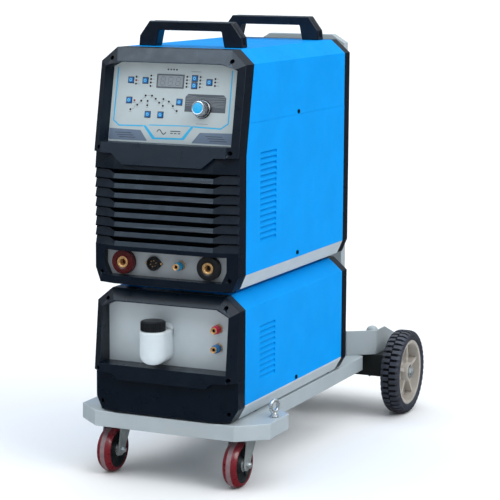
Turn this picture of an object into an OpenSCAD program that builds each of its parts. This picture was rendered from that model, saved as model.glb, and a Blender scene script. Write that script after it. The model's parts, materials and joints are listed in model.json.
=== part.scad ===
// TIG welding set: an inverter power source standing on a water cooler, both carried by a
// bottle trolley with two front swivel casters and two large rear wheels.
// Millimetres. X is the width, Y runs from front to rear, Z is up, and the floor is Z = 0.
// Inside the modules Y is counted from the front corners of the cabinets.

/* [Cabinets] */
// Width of both cabinets over their side covers
cabinet_w = 330; // [324:1:336]
// Depth of both cabinets, from the front corners to the rear bezel
cabinet_l = 605; // [590:1:640]
// Wall of the moulded front and rear bezels
mould_wall = 4; // [3:0.5:5]
// Thickness of the steel covers and pans
sheet = 2; // [1.2:0.2:2.4]

/* [Power source] */
// Underside of the power source
power_z = 420.5; // [418:0.5:424]
// Height of the joint between the front grille and the panel frame
power_step_z = 695; // [690:1:700]
// Top of the power source
power_top_z = 909.4; // [905:0.2:914]
// Lean of the panel frame in degrees
power_lean = 11; // [9:0.5:12]
// How far the panel rim stands in front of the frame's edge
rim_rise = 15; // [12:1:16]
// Number of slots in the front grille
slot_count = 8; // [4:1:8]
// Distance from one grille slot to the next
slot_pitch = 20.2; // [19:0.1:20.4]
// Height of the seam between the top cover and the side panels
cover_seam_z = 761; // [740:1:790]

/* [Control panel] */
// Edge length of a push button
button_size = 10.6; // [9:0.2:11.6]
// Travel of a push button
button_travel = 1; // [0.5:0.1:1.5]
// Radius of the encoder knob's skirt
knob_r = 19.5; // [16:0.5:21]

/* [Water cooler] */
// Underside of the cooler
cooler_z = 146.4; // [145:0.2:148]
// Height of the joint across the cooler's front
cooler_step_z = 232; // [228:1:236]
// Top of the cooler
cooler_top_z = 406.9; // [404:0.1:409]
// Lean of the cooler's front frame in degrees
cooler_lean = 6.6; // [5:0.2:8]
// Radius of the filler bottle
bottle_r = 28; // [24:1:30]

/* [Trolley] */
// Top of the trolley's deck
deck_z = 143.4; // [142:0.2:145]
// Height of the deck's skirt and of the frame rails
skirt_h = 33.4; // [30:0.2:34]
// Half of the deck's full width
deck_half_w = 221; // [215:1:225]
// Radius of the casters' wheels
caster_r = 50; // [48:1:52]
// Radius of the rear wheels
wheel_r = 101; // [98:1:103]
// Width of the rear tyres
tyre_w = 46; // [42:1:48]
// Spokes in a rear wheel
spoke_count = 5; // [4:1:6]

/* [Hidden] */
$fn = 48;
half_w = cabinet_w / 2;
run_gap = 0.05;                 // radial gap of every turning fit
front_reach = 45;               // foremost point: the filler bottle
rear_reach = 925;               // rearmost point: the bottle tray
origin_y = -(rear_reach - front_reach) / 2;

// Chamfers of the cabinet outlines: [across, up]
power_low_cut = [13, 30];
power_high_cut = [33.7, 29.3];
cooler_low_cut = [15, 27];
cooler_high_cut = [33, 28.5];

// Front mouldings
nose_y = -15;                   // flat middle of the grille and of the lower moulding
nose_half = 113.5;
facet_angle = atan(-nose_y / (half_w - nose_half));
seam_y = 35.8;                  // joint between mouldings and covers
mould_depth = 10;               // plane where the mouldings are hollow behind
power_frame_y = -3.9;           // leaning frame's edge at its foot
frame_depth = (seam_y - power_frame_y) * cos(power_lean);
panel_depth = 13;               // control panel, behind the leaning edge plane
panel_sheet = 2;
cooler_frame_y = -7.6;
cooler_panel_y = 24;
rear_bezel_y = cabinet_l - 31;
power_opening = [[-141, 716], [141, 716], [141, 869], [120, 880], [-120, 880], [-141, 869]];
cooler_opening = [[-146, 248.5], [146, 248.5], [146, 367], [118, 381], [-118, 381], [-146, 367]];
connector_opening = [[-131, 437], [131, 437], [141, 460], [141, 491], [-141, 491], [-141, 460]];
// Corner points of the frames in their leaning planes, right half: outer edge and raised rim
edge_land = 0.6;
rim_land = 0.4;
power_edge = [[half_w, 0.6], [half_w, 188.56], [131.3, 218.4]];
power_rim = [[143, -3], [143, 175.2], [121, 187.5]];
cooler_edge = [[half_w, 0.6], [half_w, 147.38], [132, 176.07]];
cooler_rim = [[148, -2], [148, 135.1], [120, 150.3]];
tongue_half = 117;
lip_top_z = 661;                // lowest edge of the grille's uppermost bar
slot_h = 9.6;
side_slot_h = 3;
blade_land = 0.3;               // step where a bar's leaning face starts
blade_lean = 5.5;

// Control panel layout in the panel's own plane: [across, up from the joint]
button_spots = [[-99.5, 152], [-66, 152], [46.7, 159.6], [46.7, 144.8], [80.2, 152.5],
                [-100, 110], [16, 110], [-54.5, 82], [-25, 82]];
display_low = [-39.5, 138];
display_high = [22.8, 166.3];
knob_spot = [70, 97];
knob_stand = 25;

// Sockets and couplings
socket_spots = [[-100, 465], [96.5, 465]];
socket_r = 25.4;
socket_bore_r = 6.6;
control_spot = [-32.4, 465];
gas_spot = [29.5, 465];
coolant_spots = [[109, 336], [109, 296]];
coupling_r = 8.5;
coupling_bore_r = 3.1;

// Filler bottle
bottle_x = -21.5;
bottle_y = bottle_r - front_reach;
bottle_z = 257;
bottle_neck_z = 333;
cap_top_z = 350;

// Louvres: [lowest, count, front, rear]
louvre_pitch = 12;
power_louvres = [515, 16, 106, 190];
cooler_louvres = [222, 10, 108, 190];

// Handles
handle_fronts = [110, 525];
handle_w = 30;
handle_top_z = 962;

// Screws: [across, up, Y of the seat] in the mouldings, [along, up] on the covers
power_frame_screws = [[137, 887, 38], [150, 705, 5]];
grille_screws = [[147, 443, 5]];
cooler_frame_screws = [[137, 385.5, 18], [150.5, 239, 5]];
cooler_low_screws = [[147, 165, 5]];
cover_screws = [[305, 767.5], [305, 461], [305, 184]];
rear_seat_y = cabinet_l - 8;
power_rear_screws = [[150, 470, rear_seat_y], [150, 860, rear_seat_y]];
cooler_rear_screws = [[150, 190, rear_seat_y], [150, 365, rear_seat_y]];
screw_r = 4;
screw_h = 3;
screw_hole_r = 4.5;

// Rear
power_rear_opening = [[-138, 452], [138, 452], [138, 862], [118, 880], [-118, 880], [-138, 862]];
cooler_rear_opening = [[-138, 178], [138, 178], [138, 362], [118, 380], [-118, 380], [-138, 362]];
rear_panel_y = rear_bezel_y + 12;
power_fan_z = 590;
power_fan_r = 72;
cooler_fan_z = 282;
cooler_fan_r = 60;
fan_y = rear_panel_y - 40;
motor_r = 24;
shaft_r = 4;
switch_spot = [-70, 800];
gland_spots = [[70, 800], [70, 740]];

// Trolley
deck_front = -13;
deck_corner = [162, 39];         // half width of the front edge, Y where the sides start
deck_rear = [137, 195];          // Y where the sides end, Y of the deck's rear edge
rail_outer = 154;
rail_w = 40;
rail_end = 757;
axle_y = 815;
axle_r = 10;
caster_x = 147.6;
caster_y = 39;
swivel_y = 67;
caster_w = 32;
pin_r = 6;
wheel_x = 231;
rim_r = 78;
hub_r = 28;
tray_half = 175;
tray_front = 740;
tray_wall_z = 203;
backrest_y = 705;

// ---------------------------------------------------------------- helpers

// Moves a node from the cabinets' datum to the part's origin.
module placed() translate([0, origin_y, 0]) children();

// Extrudes an XZ outline from one Y to another.
module along_y(from, to)
    translate([0, to, 0]) rotate([90, 0, 0]) linear_extrude(to - from) children();

// Extrudes a YZ outline from one X to another.
module along_x(from, to)
    translate([from, 0, 0]) rotate([90, 0, 90]) linear_extrude(to - from) children();

module both_sides() { children(); mirror([1, 0, 0]) children(); }

// Rod or disc along Y, from one Y to another, at [x, z].
module y_rod(spot, r, from, to)
    translate([spot[0], to, spot[1]]) rotate([90, 0, 0]) cylinder(h = to - from, r = r);

// Rod along X at [y, z].
module x_rod(spot, r, from, to)
    translate([from, spot[0], spot[1]]) rotate([0, 90, 0]) cylinder(h = to - from, r = r);

// Frame whose XZ plane leans back by an angle about the line at [y, z].
module leaning(y, z, angle) translate([0, y, z]) rotate([-angle, 0, 0]) children();

module power_lean_frame() leaning(power_frame_y, power_step_z, power_lean) children();

// Eight-cornered cabinet outline, drawn in by a wall.
function outline(low, high, low_cut, high_cut, wall = 0) =
    let (w = half_w - wall, b = low + wall, t = high - wall, k = wall * 0.4)
    [[-w + low_cut[0] - k, b], [w - low_cut[0] + k, b], [w, low + low_cut[1] + k],
     [w, high - high_cut[1] - k], [half_w - high_cut[0] - k, t], [-half_w + high_cut[0] + k, t],
     [-w, high - high_cut[1] - k], [-w, low + low_cut[1] + k]];

function power_outline(wall = 0) =
    outline(power_z, power_top_z, power_low_cut, power_high_cut, wall);
function cooler_outline(wall = 0) =
    outline(cooler_z, cooler_top_z, cooler_low_cut, cooler_high_cut, wall);

// Everything between two heights.
module between_z(low, high)
    translate([-400, -200, low]) cube([800, 1400, high - low]);

// Blind holes for screws, mirrored on both sides: in from the front, or in from the rear.
module front_holes(spots) both_sides() for (s = spots) y_rod(s, screw_hole_r, -60, s[2]);
module rear_holes(spots) both_sides() for (s = spots) y_rod(s, screw_hole_r, s[2], s[2] + 20);

// Faceted raised front, from just inside the frame's edge up to the rim. The corner points
// are given for the right half, from the foot upwards.
module raised_front(edge, rim)
    hull() {
        along_y(0, 1) polygon(mirrored([for (p = edge) p - [edge_land, edge_land]]));
        along_y(rim_land - rim_rise, 1 - rim_rise) polygon(mirrored(rim));
    }

// Flat rim and the trapezoid tongue that hangs from it over the moulding below.
module rim_plate(rim, drop)
    along_y(-rim_rise, 6 - rim_rise)
        polygon(mirrored(concat([[tongue_half - drop, -drop], [tongue_half, -4]],
                                [for (p = rim) p - [rim_land, rim_land]])));

// Closes an outline of right-hand points with their mirror images.
function mirrored(right) =
    concat(right, [for (i = [len(right) - 1 : -1 : 0]) [-right[i][0], right[i][1]]]);

// Plan of the lower front mouldings, with slanted cheeks beside a flat middle.
module cheeked_block(low, high)
    translate([0, 0, low]) linear_extrude(high - low)
        polygon([[-half_w, 0], [-nose_half, nose_y], [nose_half, nose_y], [half_w, 0],
                 [half_w, seam_y], [-half_w, seam_y]]);

// Row of louvre windows through a side sheet.
module louvre_slots(rows)
    for (i = [0 : rows[1] - 1])
        translate([half_w - 4 * sheet, rows[2], rows[0] + i * louvre_pitch - 6.5])
            cube([8 * sheet, rows[3] - rows[2], 8.5]);

// Inward scoops behind the windows: flush at the foot, open behind the sheet at the top.
module louvre_scoops(rows)
    for (i = [0 : rows[1] - 1]) translate([half_w, 0, rows[0] + i * louvre_pitch]) {
        along_y(rows[2] - 1, rows[3] + 1)
            polygon([[-0.5, -7.4], [-0.1, -6.3], [-4.6, 1.6], [-6, 1.6], [-1.9, -7.4]]);
        for (y = [rows[2] - 1, rows[3] - 0.4])
            along_y(y, y + 1.4)
                polygon([[-0.5, -7.1], [-0.5, 2.8], [-6, 2.8], [-6, 1.2], [-1.7, -7.1]]);
    }

// Hose coupling or gas outlet: flange, collar, body and hose nose with a bore.
module coupling(spot, wall_y)
    difference() {
        union() {
            y_rod(spot, coupling_r + 2.5, wall_y - 3, wall_y);
            y_rod(spot, coupling_r, wall_y - 20, wall_y - 3);
            y_rod(spot, coupling_r - 1.5, wall_y - 26, wall_y - 20);
            y_rod(spot, coupling_r - 2.1, wall_y, wall_y + 10);
        }
        y_rod(spot, coupling_bore_r, wall_y - 40, wall_y - 8);
    }

// Output socket: insulating body round a brass sleeve's bore.
module output_socket(spot)
    difference() {
        union() {
            y_rod(spot, socket_r + 0.4, mould_depth - 3, mould_depth);
            y_rod(spot, socket_r, mould_depth - 14, mould_depth - 3);
            y_rod(spot, socket_r - 10.1, mould_depth, mould_depth + 16);
        }
        y_rod(spot, socket_bore_r + 7, mould_depth - 30, mould_depth - 12.5);
        y_rod(spot, socket_bore_r, mould_depth - 30, mould_depth + 3.5);
    }

// ---------------------------------------------------------------- power source

module power_front_frame() color([0.09, 0.10, 0.12]) placed() difference() {
    union() {
        intersection() {
            along_y(-40, 140) polygon(power_outline());
            between_z(power_step_z, power_top_z + 1);
            power_lean_frame() {
                translate([-250, 0, -40]) cube([500, frame_depth, 320]);
                raised_front(power_edge, power_rim);
            }
        }
        difference() {
            power_lean_frame() rim_plate(power_rim, 26);
            translate([-200, nose_y, power_step_z - 60]) cube([400, 60, 60]);
        }
    }
    along_y(-60, 140) polygon(power_opening);
    // side walls of the opening, flared towards the front
    power_lean_frame() hull() {
        along_y(panel_depth + 0.4, panel_depth + 0.5)
            polygon(mirrored([[141, 24.5], [141, 179], [121, 189.5]]));
        along_y(-20.1, -20) polygon(mirrored([[155.3, 17.6], [155.3, 173.5], [121, 184]]));
    }
    power_lean_frame() translate([0, panel_depth, 0]) along_y(0, 60)
        polygon([[-161, 6], [161, 6], [161, 186], [129, 214.5], [-129, 214.5], [-161, 186]]);
    front_holes(power_frame_screws);
}

module power_front_grille() color([0.09, 0.10, 0.12]) placed() difference() {
    intersection() {
        cheeked_block(power_z, power_step_z);
        along_y(-40, 60) polygon(power_outline());
    }
    // hollow rear
    intersection() {
        along_y(mould_depth, 60) polygon(power_outline(mould_wall));
        between_z(power_z, power_step_z - mould_wall);
    }
    along_y(-40, mould_depth + 1) polygon(connector_opening);
    // slots, narrower on the slanted cheeks
    for (i = [0 : slot_count - 1]) let (top = lip_top_z - i * slot_pitch)
        along_y(-40, mould_depth + 1)
            polygon(mirrored([[nose_half - 0.5, top - slot_h], [129, top - side_slot_h],
                              [162, top - side_slot_h], [162, top]]));
    // leaning faces of the bars
    for (i = [0 : slot_count]) let (low = lip_top_z - i * slot_pitch + 1,
                                    high = low + slot_pitch - side_slot_h + (i == 0 ? 20 : 0)) {
        along_x(-nose_half - 2, nose_half + 2)
            polygon([[nose_y - 1, low], [nose_y + blade_land, low], [nose_y + blade_lean, high],
                     [nose_y - 1, high]]);
        both_sides() translate([nose_half, nose_y, 0]) rotate([0, 0, facet_angle])
            along_x(0, 60)
                polygon([[-1, low], [blade_land, low], [blade_lean, high], [-1, high]]);
    }
    front_holes(grille_screws);
}

module control_panel() color([0.76, 0.77, 0.76]) placed() power_lean_frame() difference() {
    along_y(panel_depth, panel_depth + panel_sheet)
        polygon([[-147, 16], [147, 16], [147, 183], [125, 196], [-125, 196], [-147, 183]]);
    for (s = button_spots) translate([s[0], panel_depth, s[1]])
        cube([button_size + 0.6, 3 * panel_sheet, button_size + 0.6], center = true);
    y_rod(knob_spot, 3.6, 0, 40);
}

module display_window() color([0.45, 0.47, 0.48]) placed() power_lean_frame() difference() {
    translate([display_low[0], panel_depth - 1.6, display_low[1]])
        cube([display_high[0] - display_low[0], 1.6, display_high[1] - display_low[1]]);
    translate([display_low[0] + 2.5, panel_depth - 2.6, display_low[1] + 2.5])
        cube([display_high[0] - display_low[0] - 5, 1.6, display_high[1] - display_low[1] - 5]);
}

module encoder_knob() color([0.70, 0.72, 0.74]) placed() power_lean_frame() union() {
    y_rod(knob_spot, knob_r, panel_depth - 5, panel_depth - 0.4);
    y_rod(knob_spot, knob_r - 4, panel_depth - knob_stand, panel_depth - 5);
    y_rod(knob_spot, 3.5, panel_depth - 1, panel_depth + 12);
}

// Square push button with a stem and a catch behind the panel.
module button(i) color([0.05, 0.55, 0.85]) placed() power_lean_frame()
    translate([button_spots[i][0], 0, button_spots[i][1]]) {
        translate([-button_size / 2, panel_depth - 2.2, -button_size / 2])
            cube([button_size, panel_sheet + 4, button_size]);
        translate([-button_size / 2 - 1.5, panel_depth + panel_sheet + 0.3, -button_size / 2])
            cube([button_size + 3, 1.4, button_size]);
    }

module connector_plate() color([0.66, 0.68, 0.69]) placed() difference() {
    along_y(mould_depth, mould_depth + sheet)
        polygon([for (p = connector_opening) [p[0] * 1.03, p[1] + (p[1] > 480 ? 4 : -3)]]);
    for (s = socket_spots) y_rod(s, socket_r - 10, 0, 30);
    y_rod(control_spot, 10, 0, 30);
    y_rod(gas_spot, coupling_r - 2, 0, 30);
}

module positive_socket() color([0.35, 0.05, 0.06]) placed() output_socket(socket_spots[0]);
module negative_socket() color([0.07, 0.07, 0.08]) placed() output_socket(socket_spots[1]);

module control_socket() color([0.08, 0.08, 0.09]) placed() difference() {
    union() {
        y_rod(control_spot, 15, mould_depth - 8, mould_depth);
        y_rod(control_spot, 9.9, mould_depth, mould_depth + 14);
        along_y(mould_depth - 2, mould_depth) translate(control_spot)
            polygon([[-21, 0], [-13, -8], [-5, -14.5], [5, -14.5], [13, -8], [21, 0],
                     [13, 8], [5, 14.5], [-5, 14.5], [-13, 8]]);
    }
    y_rod(control_spot, 11.5, mould_depth - 9, mould_depth - 3);
}

module gas_outlet() color([0.10, 0.45, 0.60]) placed() coupling(gas_spot, mould_depth);

module power_base_pan() color([0.66, 0.69, 0.71]) placed() intersection() {
    difference() {
        along_y(seam_y, rear_bezel_y) polygon(power_outline());
        along_y(seam_y - 1, rear_bezel_y + 1) polygon(power_outline(sheet));
    }
    between_z(power_z - 1, power_z + power_low_cut[1]);
}

// Space taken by the power source's front mouldings, in front of the covers.
module ahead_of_covers() {
    power_lean_frame() translate([-250, -200, 0]) cube([500, 200 + frame_depth, 400]);
    translate([-250, -100, power_z - 10]) cube([500, 100 + seam_y, power_step_z - power_z + 10]);
}

module top_cover() color([0.0, 0.62, 0.93]) placed() difference() {
    intersection() {
        difference() {
            along_y(20, rear_bezel_y) polygon(power_outline());
            along_y(19, rear_bezel_y + 1) polygon(power_outline(sheet));
        }
        between_z(cover_seam_z, power_top_z + 1);
    }
    ahead_of_covers();
}

module side_panels() color([0.0, 0.62, 0.93]) placed() both_sides() union() {
    difference() {
        translate([half_w - sheet, 20, power_z + power_low_cut[1]])
            cube([sheet, rear_bezel_y - 20, cover_seam_z - power_z - power_low_cut[1]]);
        ahead_of_covers();
        louvre_slots(power_louvres);
    }
    louvre_scoops(power_louvres);
}

// Rear bezel: a frame of the cabinet's outline round a recessed opening.
module rear_bezel(full, inner, opening) difference() {
    along_y(rear_bezel_y, cabinet_l) polygon(full);
    along_y(rear_panel_y + sheet, cabinet_l + 1) polygon(opening);
    along_y(rear_bezel_y - 1, rear_panel_y + sheet) polygon(inner);
}

// Rear panel with a round guard of rings and spokes that also carries the fan motor.
module rear_panel(opening_low, opening_high, fan_z, fan_r) {
    plate = rear_panel_y;
    difference() {
        translate([-142, plate, opening_low]) cube([284, sheet, opening_high - opening_low]);
        y_rod([0, fan_z], fan_r + 4, plate - 1, plate + sheet + 1);
        children();
    }
    for (r = [fan_r + 4 : -12 : motor_r + 8]) difference() {
        y_rod([0, fan_z], r + 0.1, plate, plate + sheet);
        y_rod([0, fan_z], r - 3, plate - 1, plate + sheet + 1);
    }
    for (a = [0 : 45 : 135]) translate([0, plate, fan_z]) rotate([0, a, 0])
        translate([-fan_r - 4, 0, -2]) cube([2 * fan_r + 8, sheet, 4]);
    y_rod([0, fan_z], motor_r + 2, plate, plate + sheet);
    y_rod([0, fan_z], motor_r, plate - 14, plate);
    y_rod([0, fan_z], shaft_r, fan_y - 4, plate - 14);
}

// Axial fan rotor: a hub with a bore and seven slanted blades.
module fan_rotor(fan_z, fan_r) {
    difference() {
        y_rod([0, fan_z], motor_r, fan_y, fan_y + 22);
        y_rod([0, fan_z], shaft_r + run_gap, fan_y - 1, fan_y + 23);
    }
    for (a = [0 : 360 / 7 : 359]) translate([0, fan_y + 11, fan_z]) rotate([0, a, 0])
        translate([motor_r - 2, 0, 0]) rotate([35, 0, 0])
            translate([0, -1, -12]) cube([fan_r - motor_r, 2, 24]);
}

module power_rear_bezel() color([0.09, 0.10, 0.12]) placed()
    difference() {
        rear_bezel(power_outline(), power_outline(mould_wall), power_rear_opening);
        rear_holes(power_rear_screws);
    }

module power_rear_panel() color([0.66, 0.69, 0.71]) placed() {
    rear_panel(446, 886, power_fan_z, power_fan_r) {
        translate([switch_spot[0] - 15, rear_panel_y - 5, switch_spot[1] - 25]) cube([30, 20, 50]);
        for (s = gland_spots) y_rod(s, 9, rear_panel_y - 5, rear_panel_y + 10);
    }
    // housing that holds the rocker by its two pins
    translate([switch_spot[0], rear_panel_y + sheet, switch_spot[1]]) difference() {
        translate([-17, -10, -27]) cube([34, 13, 54]);
        translate([-12.5, -20, -22]) cube([25, 40, 44]);
        x_rod([0, 0], 2 + run_gap, -15, 15);
    }
}

module power_fan() color([0.12, 0.12, 0.13]) placed() fan_rotor(power_fan_z, power_fan_r);

// Rocker with a dished face, on a pin along X.
module power_switch() color([0.55, 0.06, 0.06]) placed()
    translate([switch_spot[0], rear_panel_y + sheet, switch_spot[1]]) {
        along_x(-12, 12)
            polygon([[-8, -16], [2, -20], [7, -17], [4, 0], [7, 17], [2, 20], [-8, 16]]);
        x_rod([0, 0], 2, -14.5, 14.5);
    }

// Mains cable gland above, gas inlet nipple below.
module rear_inlets() color([0.20, 0.20, 0.21]) placed() {
    face = rear_panel_y + sheet;
    difference() {
        union() {
            translate([gland_spots[0][0], face + 6, gland_spots[0][1]]) rotate([90, 0, 0])
                cylinder(h = 6, r = 16, $fn = 6);
            y_rod(gland_spots[0], 12, face + 6, face + 17);
            y_rod(gland_spots[0], 8.8, face - 10, face);
        }
        y_rod(gland_spots[0], 6, face - 11, face + 20);
    }
    difference() {
        union() {
            y_rod(gland_spots[1], 11, face, face + 4);
            y_rod(gland_spots[1], 6, face + 4, face + 17);
            y_rod(gland_spots[1], 8.8, face - 10, face);
        }
        y_rod(gland_spots[1], 3.1, face - 11, face + 20);
    }
}

// Arched handle: chamfered outline, tapering window and a groove round its outside.
module handle(front) difference() {
    along_y(front, front + handle_w)
        polygon([[-119, power_top_z], [119, power_top_z], [117, 931], [94, handle_top_z],
                 [-94, handle_top_z], [-117, 931]]);
    along_y(front - 1, front + handle_w + 1)
        polygon([[-79, power_top_z - 1], [79, power_top_z - 1], [72, 942.5], [-72, 942.5]]);
    difference() {
        along_y(front + 8, front + handle_w - 8)
            polygon([[-140, 915], [140, 915], [140, 980], [-140, 980]]);
        along_y(front + 7, front + handle_w - 7)
            polygon([[-116, 900], [116, 900], [114, 930], [92, handle_top_z - 3],
                     [-92, handle_top_z - 3], [-114, 930]]);
    }
}

module carry_handles() color([0.09, 0.10, 0.12]) placed() for (y = handle_fronts) handle(y);

// Heat sink with fins, transformer, two capacitors and a circuit board on posts.
module inverter_module() color([0.62, 0.64, 0.66]) placed() {
    floor_z = power_z + sheet;
    translate([-110, 120, floor_z]) cube([220, 300, 12]);
    for (x = [-108 : 12 : 108]) translate([x - 1.5, 120, floor_z + 12]) cube([3, 300, 60]);
    translate([-70, 430, floor_z]) cube([140, 70, 90]);
    for (x = [-60, 60]) translate([x, 180, floor_z + 72]) cylinder(h = 80, r = 32);
    translate([-100, 240, floor_z + 72]) cube([200, 170, 4]);
    for (x = [-70, 0, 70]) translate([x - 15, 290, floor_z + 76]) cube([30, 40, 36]);
}

// Rubber feet under the power source and thin pads under the cooler.
module machine_feet() color([0.06, 0.06, 0.06]) placed() both_sides() {
    for (y = [70, 540]) {
        translate([110, y, cooler_top_z]) cylinder(h = power_z - cooler_top_z, r = 16);
        translate([134, y + (y < 100 ? 60 : 0), deck_z])
            cylinder(h = cooler_z - deck_z, r = 14);
    }
}

// ---------------------------------------------------------------- water cooler

module cooler_lean_frame() leaning(cooler_frame_y, cooler_step_z, cooler_lean) children();

module cooler_front_frame() color([0.09, 0.10, 0.12]) placed() difference() {
    union() {
        intersection() {
            along_y(-40, seam_y) polygon(cooler_outline());
            between_z(cooler_step_z, cooler_top_z + 1);
            cooler_lean_frame() {
                translate([-250, 0, -20]) cube([500, 90, 260]);
                raised_front(cooler_edge, cooler_rim);
            }
        }
        difference() {
            cooler_lean_frame() rim_plate(cooler_rim, 16);
            translate([-200, nose_y, cooler_step_z - 60]) cube([400, 60, 60]);
        }
    }
    along_y(-60, 60) polygon(cooler_opening);
    intersection() {
        along_y(cooler_panel_y, 60) polygon(cooler_outline(mould_wall));
        between_z(cooler_step_z + mould_wall, cooler_top_z);
    }
    front_holes(cooler_frame_screws);
}

module cooler_lower_front() color([0.09, 0.10, 0.12]) placed() difference() {
    intersection() {
        cheeked_block(cooler_z, cooler_step_z);
        along_y(-40, 60) polygon(cooler_outline());
    }
    intersection() {
        along_y(mould_depth, 60) polygon(cooler_outline(mould_wall));
        between_z(cooler_z, cooler_step_z - mould_wall);
    }
    front_holes(cooler_low_screws);
}

module cooler_front_panel() color([0.72, 0.74, 0.74]) placed() difference() {
    along_y(cooler_panel_y, cooler_panel_y + sheet)
        polygon([[-152, 243], [152, 243], [152, 371], [124, 387], [-124, 387], [-152, 371]]);
    for (s = coolant_spots) y_rod(s, coupling_r - 2, 0, 40);
}

module filler_bottle() color([0.92, 0.94, 0.95]) placed() difference() {
    union() {
        bottle_solid(bottle_r, bottle_z, bottle_neck_z - 4);
        translate([bottle_x, bottle_y, bottle_neck_z - 5]) cylinder(h = 20, r = 23);
        // tall back, behind the cap
        translate([bottle_x, 0, 0]) along_y(11, cooler_panel_y) union() {
            translate([-bottle_r, 310]) square([2 * bottle_r, 18]);
            translate([12 - bottle_r, 310]) square([2 * bottle_r - 24, 30]);
            for (s = [-1, 1]) translate([s * (bottle_r - 12), 328]) circle(r = 12);
        }
    }
    translate([bottle_x, bottle_y, bottle_z + 20]) cylinder(h = 100, r = 20);
    translate([bottle_x - 20, bottle_y, bottle_z + 20]) cube([40, 24, 44]);
}

// D-shaped bottle, rounded underneath: a turned front and straight cheeks back to the panel.
module bottle_solid(r, low, high) {
    k = 22;
    translate([bottle_x, bottle_y, 0]) {
        translate([0, 0, low + k]) cylinder(h = high - low - k, r = r);
        translate([0, 0, low + k]) rotate_extrude() intersection() {
            union() {
                translate([r - k, 0]) circle(r = k);
                translate([0, -k]) square([r - k, k]);
            }
            translate([0, -k]) square([r, k]);
        }
    }
    translate([bottle_x, 0, 0]) along_y(bottle_y, cooler_panel_y) union() {
        translate([-r, low + k]) square([2 * r, high - low - k]);
        translate([k - r, low]) square([2 * (r - k), k]);
        for (s = [-1, 1]) translate([s * (r - k), low + k]) circle(r = k);
    }
}

module filler_cap() color([0.06, 0.07, 0.08]) placed()
    translate([bottle_x, bottle_y, 0]) difference() {
        translate([0, 0, bottle_neck_z - 3.5]) cylinder(h = cap_top_z - bottle_neck_z + 3.5, r = 26.5);
        translate([0, 0, bottle_neck_z - 5]) cylinder(h = 20.5, r = 23 + run_gap);
        for (a = [0 : 12 : 359]) rotate([0, 0, a]) translate([27.1, 0, bottle_neck_z])
            cylinder(h = 40, r = 1.2);
    }

module coolant_couplings() color([0.60, 0.10, 0.20]) placed()
    for (s = coolant_spots) coupling(s, cooler_panel_y);

module cooler_base_pan() color([0.66, 0.69, 0.71]) placed() intersection() {
    difference() {
        along_y(seam_y, rear_bezel_y) polygon(cooler_outline());
        along_y(seam_y - 1, rear_bezel_y + 1) polygon(cooler_outline(sheet));
    }
    between_z(cooler_z - 1, cooler_z + cooler_low_cut[1] + 3.6);
}

module cooler_cover() color([0.0, 0.62, 0.93]) placed() union() {
    difference() {
        along_y(seam_y, rear_bezel_y) polygon(cooler_outline());
        along_y(seam_y - 1, rear_bezel_y + 1) polygon(cooler_outline(sheet));
        between_z(0, cooler_z + cooler_low_cut[1] + 3.6);
        both_sides() louvre_slots(cooler_louvres);
    }
    both_sides() louvre_scoops(cooler_louvres);
}

module cooler_rear_bezel() color([0.09, 0.10, 0.12]) placed()
    difference() {
        rear_bezel(cooler_outline(), cooler_outline(mould_wall), cooler_rear_opening);
        rear_holes(cooler_rear_screws);
    }

module cooler_rear_panel() color([0.66, 0.69, 0.71]) placed()
    rear_panel(172, 386, cooler_fan_z, cooler_fan_r);

module cooler_fan() color([0.12, 0.12, 0.13]) placed() fan_rotor(cooler_fan_z, cooler_fan_r);

// Pump head and motor on a foot.
module coolant_pump() color([0.30, 0.32, 0.34]) placed() {
    floor_z = cooler_z + sheet;
    translate([-50, 330, floor_z]) cube([60, 110, 12]);
    y_rod([-20, floor_z + 48], 38, 350, 440);
    y_rod([-20, floor_z + 48], 30, 320, 350);
    translate([-20, 335, floor_z + 70]) cylinder(h = 30, r = 7);
}

module coolant_tank() color([0.88, 0.90, 0.90]) placed() difference() {
    translate([-140, 60, cooler_z + sheet]) cube([280, 220, 150]);
    translate([-136, 64, cooler_z + sheet + 4]) cube([272, 212, 150]);
}

// Finned core between two header tanks.
module radiator() color([0.55, 0.57, 0.60]) placed() {
    floor_z = cooler_z + sheet;
    for (x = [-80, 68]) translate([x, 480, floor_z]) cube([12, 40, 190]);
    for (z = [floor_z + 6 : 9 : floor_z + 184]) translate([-68, 484, z]) cube([136, 32, 3]);
}

// ---------------------------------------------------------------- trolley

function deck_outline(t = 0) = let (w = deck_half_w - t, c = 0.42 * t)
    [[-deck_corner[0] + c, deck_front + t], [deck_corner[0] - c, deck_front + t],
     [w, deck_corner[1] + c], [w, deck_rear[0] - c], [rail_outer - c, deck_rear[1] - t],
     [-rail_outer + c, deck_rear[1] - t], [-w, deck_rear[0] - c], [-w, deck_corner[1] + c]];

module front_deck() color([0.70, 0.73, 0.75]) placed() {
    plate = 3;
    difference() {
        translate([0, 0, deck_z - skirt_h]) linear_extrude(skirt_h) polygon(deck_outline());
        translate([0, 0, deck_z - skirt_h - 1]) linear_extrude(skirt_h - plate + 1)
            polygon(deck_outline(plate));
    }
    // bearing plates and king pins of the casters
    both_sides() translate([caster_x, swivel_y, 0]) {
        translate([-45, -38, deck_z - plate - 4]) cube([90, 76, 4]);
        translate([0, 0, 116]) cylinder(h = deck_z - plate - 4 - 116, r = pin_r);
        translate([0, 0, 110.5]) cylinder(h = 5.5, r = 10);
    }
}

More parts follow.
